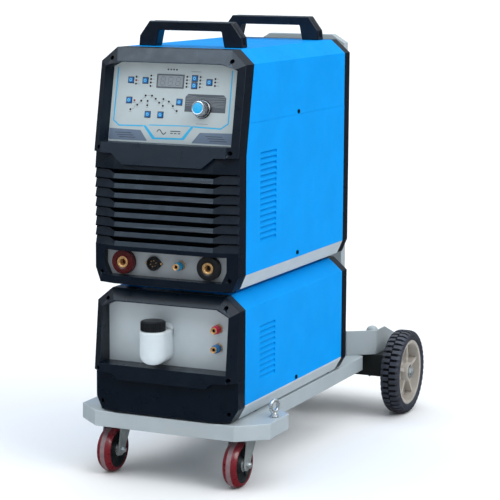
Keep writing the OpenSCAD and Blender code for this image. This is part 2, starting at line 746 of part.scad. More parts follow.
module frame_rails() color([0.70, 0.73, 0.75]) placed() {
    low = deck_z - skirt_h;
    both_sides() difference() {
        translate([rail_outer - rail_w, deck_rear[1], low])
            cube([rail_w, rail_end - deck_rear[1], skirt_h]);
        translate([rail_outer - rail_w + 3, deck_rear[1] - 1, low + 3])
            cube([rail_w - 6, rail_end - deck_rear[1] - 2, skirt_h - 6]);
        difference() {
            translate([rail_outer - 14, rail_end - 14, low - 1]) cube([15, 15, skirt_h + 2]);
            translate([rail_outer - 14, rail_end - 14, low - 2]) cylinder(h = skirt_h + 4, r = 14);
        }
    }
    inner = rail_outer - rail_w;
    for (y = [230, 470]) translate([-inner, y, low + 3]) cube([2 * inner, 40, skirt_h - 6]);
    translate([-inner, 695, low]) cube([2 * inner, rail_end - 695, skirt_h]);
}

// Plan of the tray, drawn in by a wall.
function tray_plan(t = 0) = [[-115 + 0.4 * t, tray_front + t], [115 - 0.4 * t, tray_front + t],
    [tray_half - t, 783 + 0.4 * t], [tray_half - t, rear_reach - t],
    [-tray_half + t, rear_reach - t], [-tray_half + t, 783 + 0.4 * t]];

module bottle_tray() color([0.70, 0.73, 0.75]) placed() {
    floor_t = 3;
    difference() {
        translate([0, 0, deck_z]) linear_extrude(tray_wall_z - deck_z) polygon(tray_plan());
        translate([0, 0, deck_z + floor_t]) linear_extrude(100) polygon(tray_plan(floor_t));
        // side walls slope down to a low rear lip
        along_x(-200, 200) polygon([[840, tray_wall_z + 1], [840, tray_wall_z], [905, 178],
                                    [915, 160], [940, 160], [940, tray_wall_z + 1]]);
    }
    both_sides() translate([150, 819, deck_z + floor_t]) {
        cylinder(h = 45, r = 15);
        translate([0, 0, 45]) sphere(r = 15);
    }
}

// Folded sheet that the gas bottle leans against.
module bottle_backrest() color([0.70, 0.73, 0.75]) placed() {
    outer = [[-111, deck_z], [111, deck_z], [111, 896], [80, 915], [-80, 915], [-111, 896]];
    inner = [[-108, deck_z - 1], [108, deck_z - 1], [108, 894], [79, 912], [-79, 912], [-108, 894]];
    difference() {
        along_y(backrest_y, backrest_y + 25) polygon(outer);
        along_y(backrest_y + 3, backrest_y + 26) polygon(inner);
    }
}

// Channel, open to the rear, with four bearing plates for the axle.
module axle_carrier() color([0.06, 0.06, 0.07]) placed() difference() {
    union() {
        translate([-205, 780, deck_z - 6]) cube([410, 70, 6]);
        translate([-205, 780, 90]) cube([410, 6, deck_z - 5 - 90]);
        both_sides() for (x = [155, 201])
            translate([x, 785, 87]) cube([4, 60, deck_z - 5 - 87]);
    }
    x_rod([axle_y, wheel_r], axle_r + run_gap, -300, 300);
}

module rear_axle() color([0.75, 0.77, 0.80]) placed() {
    x_rod([axle_y, wheel_r], axle_r, -wheel_x - 20, wheel_x + 20);
    both_sides() {
        x_rod([axle_y, wheel_r], 14, wheel_x + 20, wheel_x + 22);
        translate([wheel_x + 22, axle_y, wheel_r]) rotate([0, 90, 0]) cylinder(h = 6, r = 10, $fn = 6);
    }
}

// Spoked wheel centre with a hub bored for the axle.
module rear_rim(side) color([0.62, 0.60, 0.55]) placed()
    translate([side * wheel_x, axle_y, wheel_r]) rotate([0, 90, 0]) difference() {
        union() {
            difference() {
                cylinder(h = tyre_w - 6, r = rim_r, center = true, $fn = 96);
                cylinder(h = tyre_w, r = rim_r - 8, center = true, $fn = 96);
            }
            cylinder(h = 2 * 19.5, r = hub_r - 6, center = true);
            cylinder(h = 8, r = hub_r, center = true);
            for (a = [0 : 360 / spoke_count : 359]) rotate([0, 0, a])
                translate([hub_r - 8, -4, -15]) cube([rim_r - 7 - hub_r + 6, 8, 30]);
            cylinder(h = 3, r = rim_r - 6, center = true, $fn = 96);
        }
        cylinder(h = 60, r = axle_r + run_gap, center = true);
    }

module rear_tyre(side) color([0.08, 0.08, 0.09]) placed()
    translate([side * wheel_x, axle_y, wheel_r]) rotate([0, 90, 0])
        rotate_extrude($fn = 128)
            polygon([[rim_r, -tyre_w / 2 + 3], [rim_r + 5, -tyre_w / 2], [wheel_r - 9, -tyre_w / 2],
                     [wheel_r - 3, -tyre_w / 2 + 4], [wheel_r, -tyre_w / 2 + 10],
                     [wheel_r, tyre_w / 2 - 10], [wheel_r - 3, tyre_w / 2 - 4],
                     [wheel_r - 9, tyre_w / 2], [rim_r + 5, tyre_w / 2], [rim_r, tyre_w / 2 - 3]]);

// Swivelling fork: race, crown, two legs, and the wheel's bolt with its nuts.
module caster_fork(side) color([0.72, 0.74, 0.77]) placed()
    translate([side * caster_x, 0, 0]) {
        leg_x = caster_w / 2 + 3;
        difference() {
            union() {
                translate([0, swivel_y, 124]) cylinder(h = 10, r = 29);
                translate([-leg_x - 3, swivel_y - 24, 120]) cube([2 * leg_x + 6, 48, 4]);
            }
            translate([0, swivel_y, 100]) cylinder(h = 50, r = pin_r + run_gap);
        }
        for (s = [-1, 1]) translate([s > 0 ? leg_x : -leg_x - 3, 0, 0]) along_x(0, 3) union() {
            polygon([[swivel_y - 24, 120], [swivel_y + 24, 120], [swivel_y + 22, 104],
                     [caster_y + 10.5, caster_r - 8], [caster_y - 11, caster_r + 7]]);
            translate([caster_y, caster_r]) circle(r = 13);
        }
        x_rod([caster_y, caster_r], 5, -leg_x, leg_x);
        both_sides() {
            x_rod([caster_y, caster_r], 8, leg_x + 3, leg_x + 9);
            x_rod([caster_y, caster_r], 4, leg_x + 9, leg_x + 13);
        }
    }

// Crowned tread on a hub that turns on the fork's bolt.
module caster_wheel(side) color([0.50, 0.08, 0.14]) placed()
    translate([side * caster_x, caster_y, caster_r]) rotate([0, 90, 0]) difference() {
        rotate_extrude($fn = 96) union() {
            translate([36, -caster_w / 2]) square([5, caster_w]);
            intersection() {
                translate([caster_r - 20, 0]) circle(r = 20);
                translate([36, -caster_w / 2]) square([20, caster_w]);
            }
            translate([14, -8]) square([23, 16]);
            translate([1, -caster_w / 2 - 1]) square([14, caster_w + 2]);
        }
        cylinder(h = 80, r = 5 + run_gap, center = true);
    }

// Lifting eyes on the deck's wings.
module eye_bolts() color([0.78, 0.80, 0.82]) placed() both_sides()
    translate([204, 99, deck_z]) {
        cylinder(h = 4, r = 10);
        translate([0, 0, 4]) cylinder(h = 4, r = 7);
        translate([0, 0, 23]) rotate([0, 90, 0]) rotate_extrude() translate([12, 0]) circle(r = 4);
    }

// Cap head with a hexagon socket; its head points to the front (-1) or to the rear (1).
module y_screw(spot, dir) translate([spot[0], spot[2], spot[1]]) rotate([-90 * dir, 0, 0])
    difference() {
        cylinder(h = screw_h, r = screw_r);
        translate([0, 0, screw_h - 1.5]) cylinder(h = 3, r = 2.2, $fn = 6);
    }

module screws() color([0.05, 0.05, 0.06]) placed() both_sides() {
    for (s = concat(power_frame_screws, grille_screws, cooler_frame_screws, cooler_low_screws))
        y_screw(s, -1);
    for (s = concat(power_rear_screws, cooler_rear_screws)) y_screw(s, 1);
    for (s = cover_screws) difference() {
        x_rod(s, screw_r + 0.5, half_w, half_w + 2.5);
        x_rod(s, 1.6, half_w + 1.2, half_w + 3);
    }
}

// ---------------------------------------------------------------- assembly

power_front_frame();
power_front_grille();
control_panel();
display_window();
encoder_knob();
button(0);  // button_1
button(1);  // button_2
button(2);  // button_3
button(3);  // button_4
button(4);  // button_5
button(5);  // button_6
button(6);  // button_7
button(7);  // button_8
button(8);  // button_9
connector_plate();
positive_socket();
negative_socket();
control_socket();
gas_outlet();
power_base_pan();
top_cover();
side_panels();
power_rear_bezel();
power_rear_panel();
power_fan();
carry_handles();
power_switch();
rear_inlets();
inverter_module();
machine_feet();
cooler_front_frame();
cooler_lower_front();
cooler_front_panel();
filler_bottle();
filler_cap();
coolant_couplings();
cooler_base_pan();
cooler_cover();
cooler_rear_bezel();
cooler_rear_panel();
cooler_fan();
coolant_pump();
coolant_tank();
radiator();
front_deck();
frame_rails();
bottle_tray();
bottle_backrest();
axle_carrier();
rear_axle();
rear_rim(1);  // rear_rim_right
rear_rim(-1);  // rear_rim_left
rear_tyre(1);  // rear_tyre_right
rear_tyre(-1);  // rear_tyre_left
caster_fork(1);  // caster_fork_right
caster_fork(-1);  // caster_fork_left
caster_wheel(1);  // caster_wheel_right
caster_wheel(-1);  // caster_wheel_left
eye_bolts();
screws();
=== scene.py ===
"""Looks of a TIG welding set: a power source on a water cooler, carried by a bottle trolley.

Shapes are worked out in millimetres from the front corners of the cabinets, with X across,
Y to the rear and Z up from the floor. A matrix made by turned() puts each one into the row
frame, in metres. Pieces that stand for a CAD node take their place from that node's box.
"""
import json
import math
import random

import bmesh
import bpy
from mathutils import Matrix, Vector


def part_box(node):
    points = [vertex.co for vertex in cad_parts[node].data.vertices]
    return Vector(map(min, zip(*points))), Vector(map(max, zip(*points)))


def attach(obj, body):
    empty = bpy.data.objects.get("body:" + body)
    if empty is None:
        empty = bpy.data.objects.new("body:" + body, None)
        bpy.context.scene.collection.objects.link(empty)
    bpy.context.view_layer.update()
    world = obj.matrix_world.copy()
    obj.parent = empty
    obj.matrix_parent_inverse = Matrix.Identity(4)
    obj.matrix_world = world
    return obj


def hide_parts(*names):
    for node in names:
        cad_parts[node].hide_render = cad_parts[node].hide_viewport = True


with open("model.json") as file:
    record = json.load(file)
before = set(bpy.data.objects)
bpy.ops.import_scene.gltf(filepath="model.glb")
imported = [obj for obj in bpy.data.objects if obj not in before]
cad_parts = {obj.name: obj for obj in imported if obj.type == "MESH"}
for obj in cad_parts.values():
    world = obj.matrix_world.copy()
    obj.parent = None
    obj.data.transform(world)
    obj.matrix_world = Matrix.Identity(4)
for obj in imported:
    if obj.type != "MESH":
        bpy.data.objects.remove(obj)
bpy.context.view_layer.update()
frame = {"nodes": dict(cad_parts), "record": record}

MM = 0.001
X, Y, Z = Vector((1, 0, 0)), Vector((0, 1, 0)), Vector((0, 0, 1))
NODES = frame["nodes"]
RANDOM = random.Random(7)

CABINET_DEPTH = 605
DATUM_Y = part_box("power_rear_bezel")[1].y / MM - CABINET_DEPTH

# the control panel: its lean, its sheet's thickness and the part of it below the artwork's zero
LEAN = math.radians(11)
PANEL_SHEET, PANEL_FOOT = 2, 16
PANEL_UP = Vector((0, math.sin(LEAN), math.cos(LEAN)))
PANEL_OUT = Vector((0, -math.cos(LEAN), math.sin(LEAN)))


# ---------------------------------------------------------------- places

def from_row(point):
    """A row-frame point in metres, as millimetres from the cabinets' front corners."""
    return Vector((point.x / MM, point.y / MM - DATUM_Y, point.z / MM))


def box_of(node):
    """The node's lower and upper corner, from the cabinets' front corners."""
    low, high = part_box(node)
    return from_row(low), from_row(high)


def middle(node):
    low, high = box_of(node)
    return (low + high) / 2


def turned(place, x_axis=X, y_axis=Y, z_axis=Z):
    """Matrix from a shape's own millimetres to the row frame, at a place, along three axes."""
    axes = Matrix((x_axis, y_axis, z_axis)).transposed().to_4x4()
    origin = Vector((place[0], place[1] + DATUM_Y, place[2])) * MM
    return Matrix.Translation(origin) @ axes @ Matrix.Scale(MM, 4)


def to_front(place):
    """Own X across, own Y up, own Z towards the front."""
    return turned(place, X, Z, -Y)


def to_rear(place):
    """Own X towards the left side, own Y up, own Z towards the rear."""
    return turned(place, -X, Z, Y)


def to_side(place, side):
    """Own Z points to the right side for 1, to the left for -1."""
    return turned(place, Y * side, Z, X * side)


def on_panel(across, up, out=0.0):
    """A place on the leaning control panel, whose own Z stands out of it."""
    low = box_of("control_panel")[0]
    origin = Vector((0, low.y, low.z + PANEL_SHEET * math.sin(LEAN))) - PANEL_UP * PANEL_FOOT
    return turned(origin + X * across + PANEL_UP * up + PANEL_OUT * out, X, PANEL_UP, PANEL_OUT)


# ---------------------------------------------------------------- finishes

def linear(red, green, blue):
    """Screen colour from 0 to 255 as linear light."""
    return tuple((c / 255 / 12.92) if c < 10.3 else ((c / 255 + 0.055) / 1.055) ** 2.4
                 for c in (red, green, blue))


WORN_EDGE = 0.0018               # reach of the rubbed tone from an edge, in metres


def finish(colour, roughness, metallic=0.0, mottle=0.05, patch=0.05, spread=0.06, grain=0.0006,
           relief=0.00001, stretch=(1, 1, 1), dust=None, edge=0.0, **constants):
    """Procedural surface: tone patches, uneven gloss, a fine grain, edge tone and dust.

    patch and grain are feature sizes and relief a height, in metres. dust is a colour that
    gathers in broad patches. edge lightens convex edges, as rubbing does.
    """
    material = bpy.data.materials.new("finish")
    material.use_nodes = True
    tree = material.node_tree
    new, link = tree.nodes.new, tree.links.new
    shader = tree.nodes["Principled BSDF"]
    shader.inputs["Metallic"].default_value = metallic
    for socket, value in constants.items():
        shader.inputs[socket.replace("_", " ")].default_value = value

    place = new("ShaderNodeTexCoord")
    mapping = new("ShaderNodeMapping")
    mapping.inputs["Scale"].default_value = stretch
    link(place.outputs["Object"], mapping.inputs["Vector"])

    def noise(size, detail):
        node = new("ShaderNodeTexNoise")
        node.inputs["Scale"].default_value = 1 / size
        node.inputs["Detail"].default_value = detail
        link(mapping.outputs["Vector"], node.inputs["Vector"])
        return node.outputs["Fac"]

    def ranged(source, low_in, high_in, low, high):
        node = new("ShaderNodeMapRange")
        for socket, value in zip(("From Min", "From Max", "To Min", "To Max"),
                                 (low_in, high_in, low, high)):
            node.inputs[socket].default_value = value
        link(source, node.inputs["Value"])
        return node.outputs["Result"]

    def blended(factor, first, second):
        node = new("ShaderNodeMix")
        node.data_type = "RGBA"
        link(factor, node.inputs["Factor"])
        colours = {s.name: s for s in node.inputs if s.type == "RGBA"}
        for value, socket in ((first, colours["A"]), (second, colours["B"])):
            if isinstance(value, bpy.types.NodeSocket):
                link(value, socket)
            else:
                socket.default_value = (*value, 1)
        return next(s for s in node.outputs if s.type == "RGBA")

    patches = noise(patch, 4)
    tone = blended(ranged(patches, 0.35, 0.65, 0, 1),
                   [c * (1 - mottle) for c in colour],
                   [min(c * (1 + mottle), 1) for c in colour])
    if dust:
        tone = blended(ranged(noise(patch * 1.7, 6), 0.5, 0.75, 0, 0.5), tone, dust)
    if edge:
        rounded_normal = new("ShaderNodeBevel")
        rounded_normal.samples = 4
        rounded_normal.inputs["Radius"].default_value = WORN_EDGE
        surface = new("ShaderNodeNewGeometry")
        facing = new("ShaderNodeVectorMath")
        facing.operation = "DOT_PRODUCT"
        link(rounded_normal.outputs["Normal"], facing.inputs[0])
        link(surface.outputs["Normal"], facing.inputs[1])
        worn = [min(c * (1 + 2.5 * edge) + 0.02 * edge, 1) for c in colour]
        tone = blended(ranged(facing.outputs["Value"], 0.97, 0.75, 0, edge), tone, worn)
    link(tone, shader.inputs["Base Color"])
    link(ranged(noise(patch * 0.4, 3), 0.3, 0.7, roughness - spread, roughness + spread),
         shader.inputs["Roughness"])
    bump = new("ShaderNodeBump")
    bump.inputs["Distance"].default_value = relief
    link(noise(grain, 2), bump.inputs["Height"])
    link(bump.outputs["Normal"], shader.inputs["Normal"])
    return material


ZINC = dict(metallic=0.7, mottle=0.10, patch=0.012, spread=0.08, grain=0.0009)
FORK_ZINC = dict(ZINC, metallic=0.4)
BRASS = dict(metallic=0.6, mottle=0.08, patch=0.006, spread=0.06, grain=0.0005)
DULL = dict(Specular_IOR_Level=0.3)
FINISH = {
    "black_moulding": finish(linear(4, 17, 31), 0.32, mottle=0.10, grain=0.0009,
                             relief=0.00002, edge=0.5, Specular_IOR_Level=0.36),
    "blue_paint": finish(linear(0, 150, 234), 0.38, mottle=0.03, patch=0.09, grain=0.0014,
                         relief=0.000012, edge=0.1, Specular_IOR_Level=0.04),
    "light_grey_paint": finish(linear(190, 200, 205), 0.42, mottle=0.03, grain=0.0013,
                               relief=0.000015),
    "trolley_paint": finish(linear(172, 182, 187), 0.38, mottle=0.03, patch=0.07, grain=0.0015,
                            relief=0.00002, dust=linear(166, 172, 174), edge=0.25),
    "black_paint": finish(linear(30, 34, 35), 0.4, mottle=0.12, grain=0.0014, relief=0.00002,
                          edge=0.4, **DULL),
    "panel_film": finish(linear(182, 193, 195), 0.5, mottle=0.02, patch=0.03, grain=0.0004,
                         relief=0.000006),
    "display_film": finish(linear(134, 140, 144), 0.16, mottle=0.03, patch=0.02,
                           Coat_Weight=0.6, Coat_Roughness=0.05),
    "silver_plastic": finish(linear(186, 190, 194), 0.28, metallic=0.75, mottle=0.05,
                             patch=0.01, grain=0.0004),
    "button_plastic": finish(linear(0, 104, 176), 0.3, mottle=0.04, patch=0.004,
                             grain=0.0004),
    "red_socket": finish(linear(74, 8, 11), 0.3, mottle=0.10, patch=0.01, grain=0.0005,
                         relief=0.00002, edge=0.3),
    "black_socket": finish(linear(24, 25, 28), 0.33, mottle=0.12, patch=0.01, grain=0.0005,
                           relief=0.00002, edge=0.4),
    "coupling": finish(linear(214, 172, 112), 0.3, **BRASS),
    "fan_plastic": finish(linear(30, 31, 33), 0.5, mottle=0.1, **DULL),
    "switch_plastic": finish(linear(140, 16, 18), 0.3, mottle=0.05, patch=0.01),
    "aluminium": finish(linear(170, 173, 176), 0.4, metallic=1.0, mottle=0.05,
                        stretch=(1, 0.1, 1)),
    "rubber": finish(linear(26, 26, 27), 0.7, mottle=0.2, patch=0.02, **DULL),
    "white_plastic": finish(linear(212, 221, 226), 0.34, mottle=0.02, patch=0.02, grain=0.001,
                            Subsurface_Weight=0.6, Subsurface_Radius=(0.02, 0.02, 0.022),
                            Subsurface_Scale=0.5),
    "cap_plastic": finish(linear(22, 25, 29), 0.38, mottle=0.12, patch=0.01, edge=0.4, **DULL),
    "pump_metal": finish(linear(70, 74, 78), 0.5, metallic=0.4, mottle=0.15),
    "zinc": finish(linear(196, 202, 204), 0.3, **ZINC),
    "rim_plastic": finish(linear(176, 170, 162), 0.5, mottle=0.08, patch=0.03, grain=0.001,
                          relief=0.00003, dust=linear(150, 144, 136), edge=0.2),
    "tyre": finish(linear(52, 56, 67), 0.55, mottle=0.2, patch=0.02, grain=0.0012,
                   relief=0.00006, dust=linear(66, 62, 60), edge=0.5),
    "caster_tread": finish(linear(112, 14, 28), 0.3, mottle=0.10, patch=0.02, grain=0.0008,
                           Coat_Weight=0.3, Coat_Roughness=0.15),
    "black_screw": finish(linear(18, 18, 20), 0.35, metallic=0.6, mottle=0.1, patch=0.003),
    # finishes that only the detailed pieces have
    "brass": finish(linear(226, 180, 122), 0.3, **BRASS),
    # near-black discs and patches in bores and slots: painted shade at the bottom of holes
    "dark_hole": finish(linear(14, 10, 9), 0.6, mottle=0.3, patch=0.004, **DULL),
    # near-black: painted shade in the gaps between tread blocks and behind the grille's slots
    "dull_black": finish(linear(12, 12, 13), 0.9, mottle=0.4, patch=0.004, grain=0.002,
                         relief=0.0004, **DULL),
    "cyan_ink": finish(linear(0, 174, 226), 0.45, mottle=0.03, patch=0.01),
    "banner_ink": finish(linear(98, 114, 136), 0.45, mottle=0.04, patch=0.02),
    "banner_mark": finish(linear(58, 68, 86), 0.45, mottle=0.04, patch=0.02),
    "dark_ink": finish(linear(26, 34, 44), 0.45, mottle=0.05, patch=0.01),
    "line_ink": finish(linear(120, 124, 128), 0.5, mottle=0.05, patch=0.01),
    "plate_ink": finish(linear(74, 78, 84), 0.4, mottle=0.05, patch=0.02),
    "plate_line": finish(linear(150, 154, 158), 0.4, mottle=0.05, patch=0.02),
    "led_dark": finish(linear(40, 12, 16), 0.2, mottle=0.1, patch=0.002),
    "led_red": finish(linear(150, 36, 24), 0.2, mottle=0.1, patch=0.002),
    "ghost": finish(linear(112, 118, 122), 0.25, mottle=0.05, patch=0.01),
    "cap_blue": finish(linear(4, 166, 224), 0.3, mottle=0.03, patch=0.006),
    "icon_blue": finish(linear(96, 196, 244), 0.35, mottle=0.03, patch=0.004),
    "collar_teal": finish(linear(10, 118, 160), 0.3, mottle=0.08, patch=0.006, edge=0.3),
    "collar_red": finish(linear(204, 26, 74), 0.3, mottle=0.08, patch=0.006, edge=0.3),
    "collar_blue": finish(linear(0, 120, 186), 0.3, mottle=0.08, patch=0.006, edge=0.3),
    "tread_band": finish(linear(128, 104, 108), 0.6, mottle=0.12, patch=0.01, grain=0.0008,
                         relief=0.00004),
    "caster_core": finish(linear(34, 40, 42), 0.5, mottle=0.12, patch=0.02, edge=0.3, **DULL),
    "fork_zinc": finish(linear(168, 176, 176), 0.4, **FORK_ZINC),
    # darker copy of the light grey paint: painted shade of the connector plate's deep recess
    "plate_paint": finish(linear(150, 157, 161), 0.42, mottle=0.04, grain=0.0013,
                          relief=0.000015),
    "white_ink": finish(linear(226, 226, 226), 0.45, mottle=0.03, patch=0.01),
}
for title, made in FINISH.items():
    made.name = title
CAD_FINISH = {m["slot"]: FINISH[m["slot"]] for m in frame["record"]["materials"]}
for node in NODES.values():
    for material_slot in node.material_slots:
        material_slot.material = CAD_FINISH[material_slot.material.name.split(".")[0]]


# ---------------------------------------------------------------- shapes, in millimetres

def lathe(profile, sides, ribs=0, rib_depth=0.0, ribbed_from=0.0):
    """Turns (radius, height) points about Z. A profile that ends where it starts is a ring.

    Radii over ribbed_from get that many ribs round them.
    """
    bm = bmesh.new()
    ring = profile[0] == profile[-1]
    rows = []
    for radius, height in profile[:-1] if ring else profile:
        if radius == 0:
            rows.append([bm.verts.new((0, 0, height))])
            continue
        row = []
        for k in range(sides):
            angle = math.tau * k / sides
            depth = rib_depth * (0.5 + 0.5 * math.cos(ribs * angle)) if radius > ribbed_from else 0
            row.append(bm.verts.new(((radius - depth) * math.cos(angle),
                                     (radius - depth) * math.sin(angle), height)))
        rows.append(row)
    for low, high in zip(rows, rows[1:] + rows[:1] if ring else rows[1:]):
        for k in range(sides):
            j = (k + 1) % sides
            corners = [low[k % len(low)], low[j % len(low)], high[j % len(high)],
                       high[k % len(high)]]
            bm.faces.new(list(dict.fromkeys(corners)))
    bmesh.ops.recalc_face_normals(bm, faces=bm.faces)
    return bm


def prism(outline, depth, start=0.0):
    """Extrudes an XY outline along Z."""
    bm = bmesh.new()
    low = [bm.verts.new((x, y, start)) for x, y in outline]
    high = [bm.verts.new((x, y, start + depth)) for x, y in outline]
    bm.faces.new(low)
    bm.faces.new(high)
    for k in range(len(low)):
        j = (k + 1) % len(low)
        bm.faces.new((low[k], low[j], high[j], high[k]))
    bmesh.ops.recalc_face_normals(bm, faces=bm.faces)
    return bm


def slab(x0, x1, y0, y1, z0, z1):
    """Block between two values on each axis."""
    return prism([(x0, y0), (x1, y0), (x1, y1), (x0, y1)], z1 - z0, z0)


def loft(rows):
    """Skin through rows of points, capped at both ends."""
    bm = bmesh.new()
    made = [[bm.verts.new(p) for p in row] for row in rows]
    for low, high in zip(made, made[1:]):
        for k in range(len(low)):
            j = (k + 1) % len(low)
            bm.faces.new((low[k], low[j], high[j], high[k]))
    bm.faces.new(made[0])
    bm.faces.new(made[-1])
    bmesh.ops.recalc_face_normals(bm, faces=bm.faces)
    return bm


def torus(ring_radius, wire_radius, sides, around):
    """Ring of round wire that lies in XY."""
    profile = [(ring_radius + wire_radius * math.cos(a), wire_radius * math.sin(a))
               for a in (math.tau * k / around for k in range(around))]
    return lathe(profile + profile[:1], sides)


def circle(radius, count, centre=(0, 0), start=0.0, sweep=math.tau):
    """Points round a circle, or along an arc that stops one step short of its end."""
    return [(centre[0] + radius * math.cos(start + sweep * k / count),
             centre[1] + radius * math.sin(start + sweep * k / count)) for k in range(count)]


def ribbon(points, width):
    """Outline of an open line drawn with a mitred width."""
    sides = ([], [])
    for k, point in enumerate(points):
        here = Vector(point)
        before = (here - Vector(points[k - 1])).normalized() if k else None
        after = (Vector(points[k + 1]) - here).normalized() if k + 1 < len(points) else None
        along = ((before or after) + (after or before)).normalized()
        across = Vector((-along.y, along.x))
        reach = width / 2 / max(abs(along.dot(after or before)), 0.4)
        sides[0].append(tuple(here + across * reach))
        sides[1].append(tuple(here - across * reach))
    return sides[0] + sides[1][::-1]


class Shape:
    """Closed shapes gathered into one mesh, each with its own finish."""

    def __init__(self):
        self.bm = bmesh.new()
        self.finishes = []

    def add(self, part, name, matrix, bevel=0.0, segments=2):
        """Takes a shape in, with a finish and a place. A bevel rounds its sharp edges."""
        if bevel:
            sharp = [e for e in part.edges if e.calc_face_angle(0) > math.radians(25)]
            bmesh.ops.bevel(part, geom=sharp, offset=bevel, segments=segments, profile=0.5,
                            affect="EDGES", clamp_overlap=True)
        if name not in self.finishes:
            self.finishes.append(name)
        for face in part.faces:
            face.material_index = self.finishes.index(name)
        bmesh.ops.transform(part, matrix=matrix, verts=part.verts)
        mesh = bpy.data.meshes.new("part")
        part.to_mesh(mesh)
        part.free()
        self.bm.from_mesh(mesh)
        bpy.data.meshes.remove(mesh)

    def done(self, name, body="root", replaces=(), crease=38):
        """Makes the piece. Edges that turn by more than crease degrees are shaded sharp."""
        mesh = bpy.data.meshes.new(name)
        self.bm.to_mesh(mesh)
        self.bm.free()
        for title in self.finishes:
            mesh.materials.append(FINISH[title])
        mesh.polygons.foreach_set("use_smooth", [True] * len(mesh.polygons))
        mesh.set_sharp_from_angle(angle=math.radians(crease))
        piece = bpy.data.objects.new(name, mesh)
        bpy.context.scene.collection.objects.link(piece)
        even = piece.modifiers.new("even_normals", "WEIGHTED_NORMAL")
        even.keep_sharp = True
        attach(piece, body)
        if replaces:
            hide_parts(*replaces)


SAME_PLACE = 2e-6                # corners closer than this, in metres, are one corner
SHORTEST_ROUNDED = 5             # shorter edges, such as those of screw holes, stay sharp


def rounded(node, width, slot, title=None):
    """The node's own shape with its long sharp edges rounded, which stands for the node.

    Its finish is the slot's own, unless a title names another.
    """
    part = bmesh.new()
    part.from_mesh(NODES[node].data)
    bmesh.ops.remove_doubles(part, verts=part.verts, dist=SAME_PLACE)
    edges = [e for e in part.edges if len(e.link_faces) == 2
             and e.calc_length() > SHORTEST_ROUNDED * MM
             and e.calc_face_angle(0) > math.radians(20)]
    bmesh.ops.bevel(part, geom=edges, offset=width * MM, segments=3, profile=0.5,
                    affect="EDGES", clamp_overlap=True)
    shape = Shape()
    shape.add(part, title or slot, Matrix.Identity(4))
    shape.done(node + "_shell", replaces=[node], crease=12)


# ---------------------------------------------------------------- mouldings, covers, trolley

MOULDINGS = {"power_front_frame": 1.6, "power_front_grille": 0.7, "power_rear_bezel": 1.4,
             "carry_handles": 2.2, "cooler_front_frame": 1.6, "cooler_lower_front": 1.4,
             "cooler_rear_bezel": 1.4}
for node, width in MOULDINGS.items():
    rounded(node, width, "black_moulding")
for node, width in {"top_cover": 0.9, "side_panels": 0.5, "cooler_cover": 0.9}.items():
    rounded(node, width, "blue_paint")
for node in ("power_base_pan", "cooler_base_pan"):
    rounded(node, 0.8, "light_grey_paint")
# the connector plate takes the darker grey: painted shade of its recess
rounded("connector_plate", 0.8, "light_grey_paint", "plate_paint")
for node, width in {"front_deck": 1.6, "frame_rails": 1.6, "bottle_tray": 1.2,
                    "bottle_backrest": 1.2}.items():
    rounded(node, width, "trolley_paint")
# the axle carrier is near-black: painted shade for the shadowed space under the bottle tray
rounded("axle_carrier", 1.2, "black_paint")

# near-black sheet behind the grille's slots: painted shade, so the slots read dark
SHEET_HALF, SHEET_FOOT, SHEET_Y, SHEET_THICK = 158, 500, 16, 3
sheet_top = box_of("power_front_grille")[1].z - 34
slot_shade = Shape()
slot_shade.add(slab(-SHEET_HALF, SHEET_HALF, SHEET_FOOT, sheet_top, -SHEET_THICK, 0),
         "dull_black", to_front((0, SHEET_Y, 0)))
slot_shade.done("grille_filter")


# ---------------------------------------------------------------- control panel artwork

INK = 0.15                       # thickness of a printed layer
art = Shape()


def print_on(outline, title, out=0.0):
    """Prints an outline on the panel, or on a layer that is out from it."""
    art.add(prism(outline, INK), title, on_panel(0, 0, out))


def dash(x, s, length, title="line_ink", height=0.8):
    """A plain bar where small print would stand."""
    print_on([(x, s), (x + length, s), (x + length, s + height), (x, s + height)], title)


# blue line round the controls, and the keel-shaped frame below them
OUTLINE_WIDTH = 2.7
OUTLINE = [(-131, 178), (-132.6, 67.5), (-119.3, 57), (-62.8, 58), (-37.8, 32.4), (31.6, 33.9),
           (53.9, 60.5), (114.2, 58.7), (130, 70), (130, 178.5)]
for first, last in ((0, 3), (6, 9)):
    print_on(ribbon(OUTLINE[first:last + 1], OUTLINE_WIDTH), "cyan_ink")
print_on([(-62.8, 59), (-56.5, 59), (-33.8, 35), (27.8, 36.2), (47.6, 61.3), (53.9, 61.6),
          (33.2, 32.8), (-39.3, 31.3)], "cyan_ink")
print_on([(-52, 59), (-48, 61.2), (44, 62.6), (49, 61.3), (43, 60.6), (-46, 59.2)], "cyan_ink")
# a banner at each lower corner, with three slanting dashes in place of words
BANNER = [(140.5, 50.5), (140.5, 27), (52, 27), (52, 29), (68, 49)]
BANNER_DASH, BANNER_STEP, DASH_THICK = 38, 4.5, 1.6
for side in (-1, 1):
    print_on([(side * x, s) for x, s in BANNER], "banner_ink")
    for k in range(3):
        x, top = side * 104 - 22 + 5 * k, 43 - BANNER_STEP * k
        print_on([(x, top), (x + BANNER_DASH, top), (x + BANNER_DASH - 1, top - DASH_THICK),
                  (x - 1, top - DASH_THICK)], "banner_mark", INK)
# a wave and a line over a broken line: alternating and direct current
WAVE_STEPS = 28
wave = [(-30 + 0.75 * k, 47 + 4.5 * math.sin(math.tau * k / WAVE_STEPS))
        for k in range(WAVE_STEPS + 1)]
print_on(ribbon(wave, 1.8), "dark_ink")
print_on([(1, 48.6), (24, 48.6), (24, 50.4), (1, 50.4)], "dark_ink")
for k in range(3):
    dash(1 + 8.6 * k, 44, 5.8, "dark_ink", 1.8)


def lamp_on(x, s, radius, lit=False):
    """A light-emitting diode's dome."""
    art.add(lathe([(0, 0), (radius, 0), (radius, 0.3), (1.5, 0.8), (0, 1.0)], 16),
            "led_red" if lit else "led_dark", on_panel(x, s))


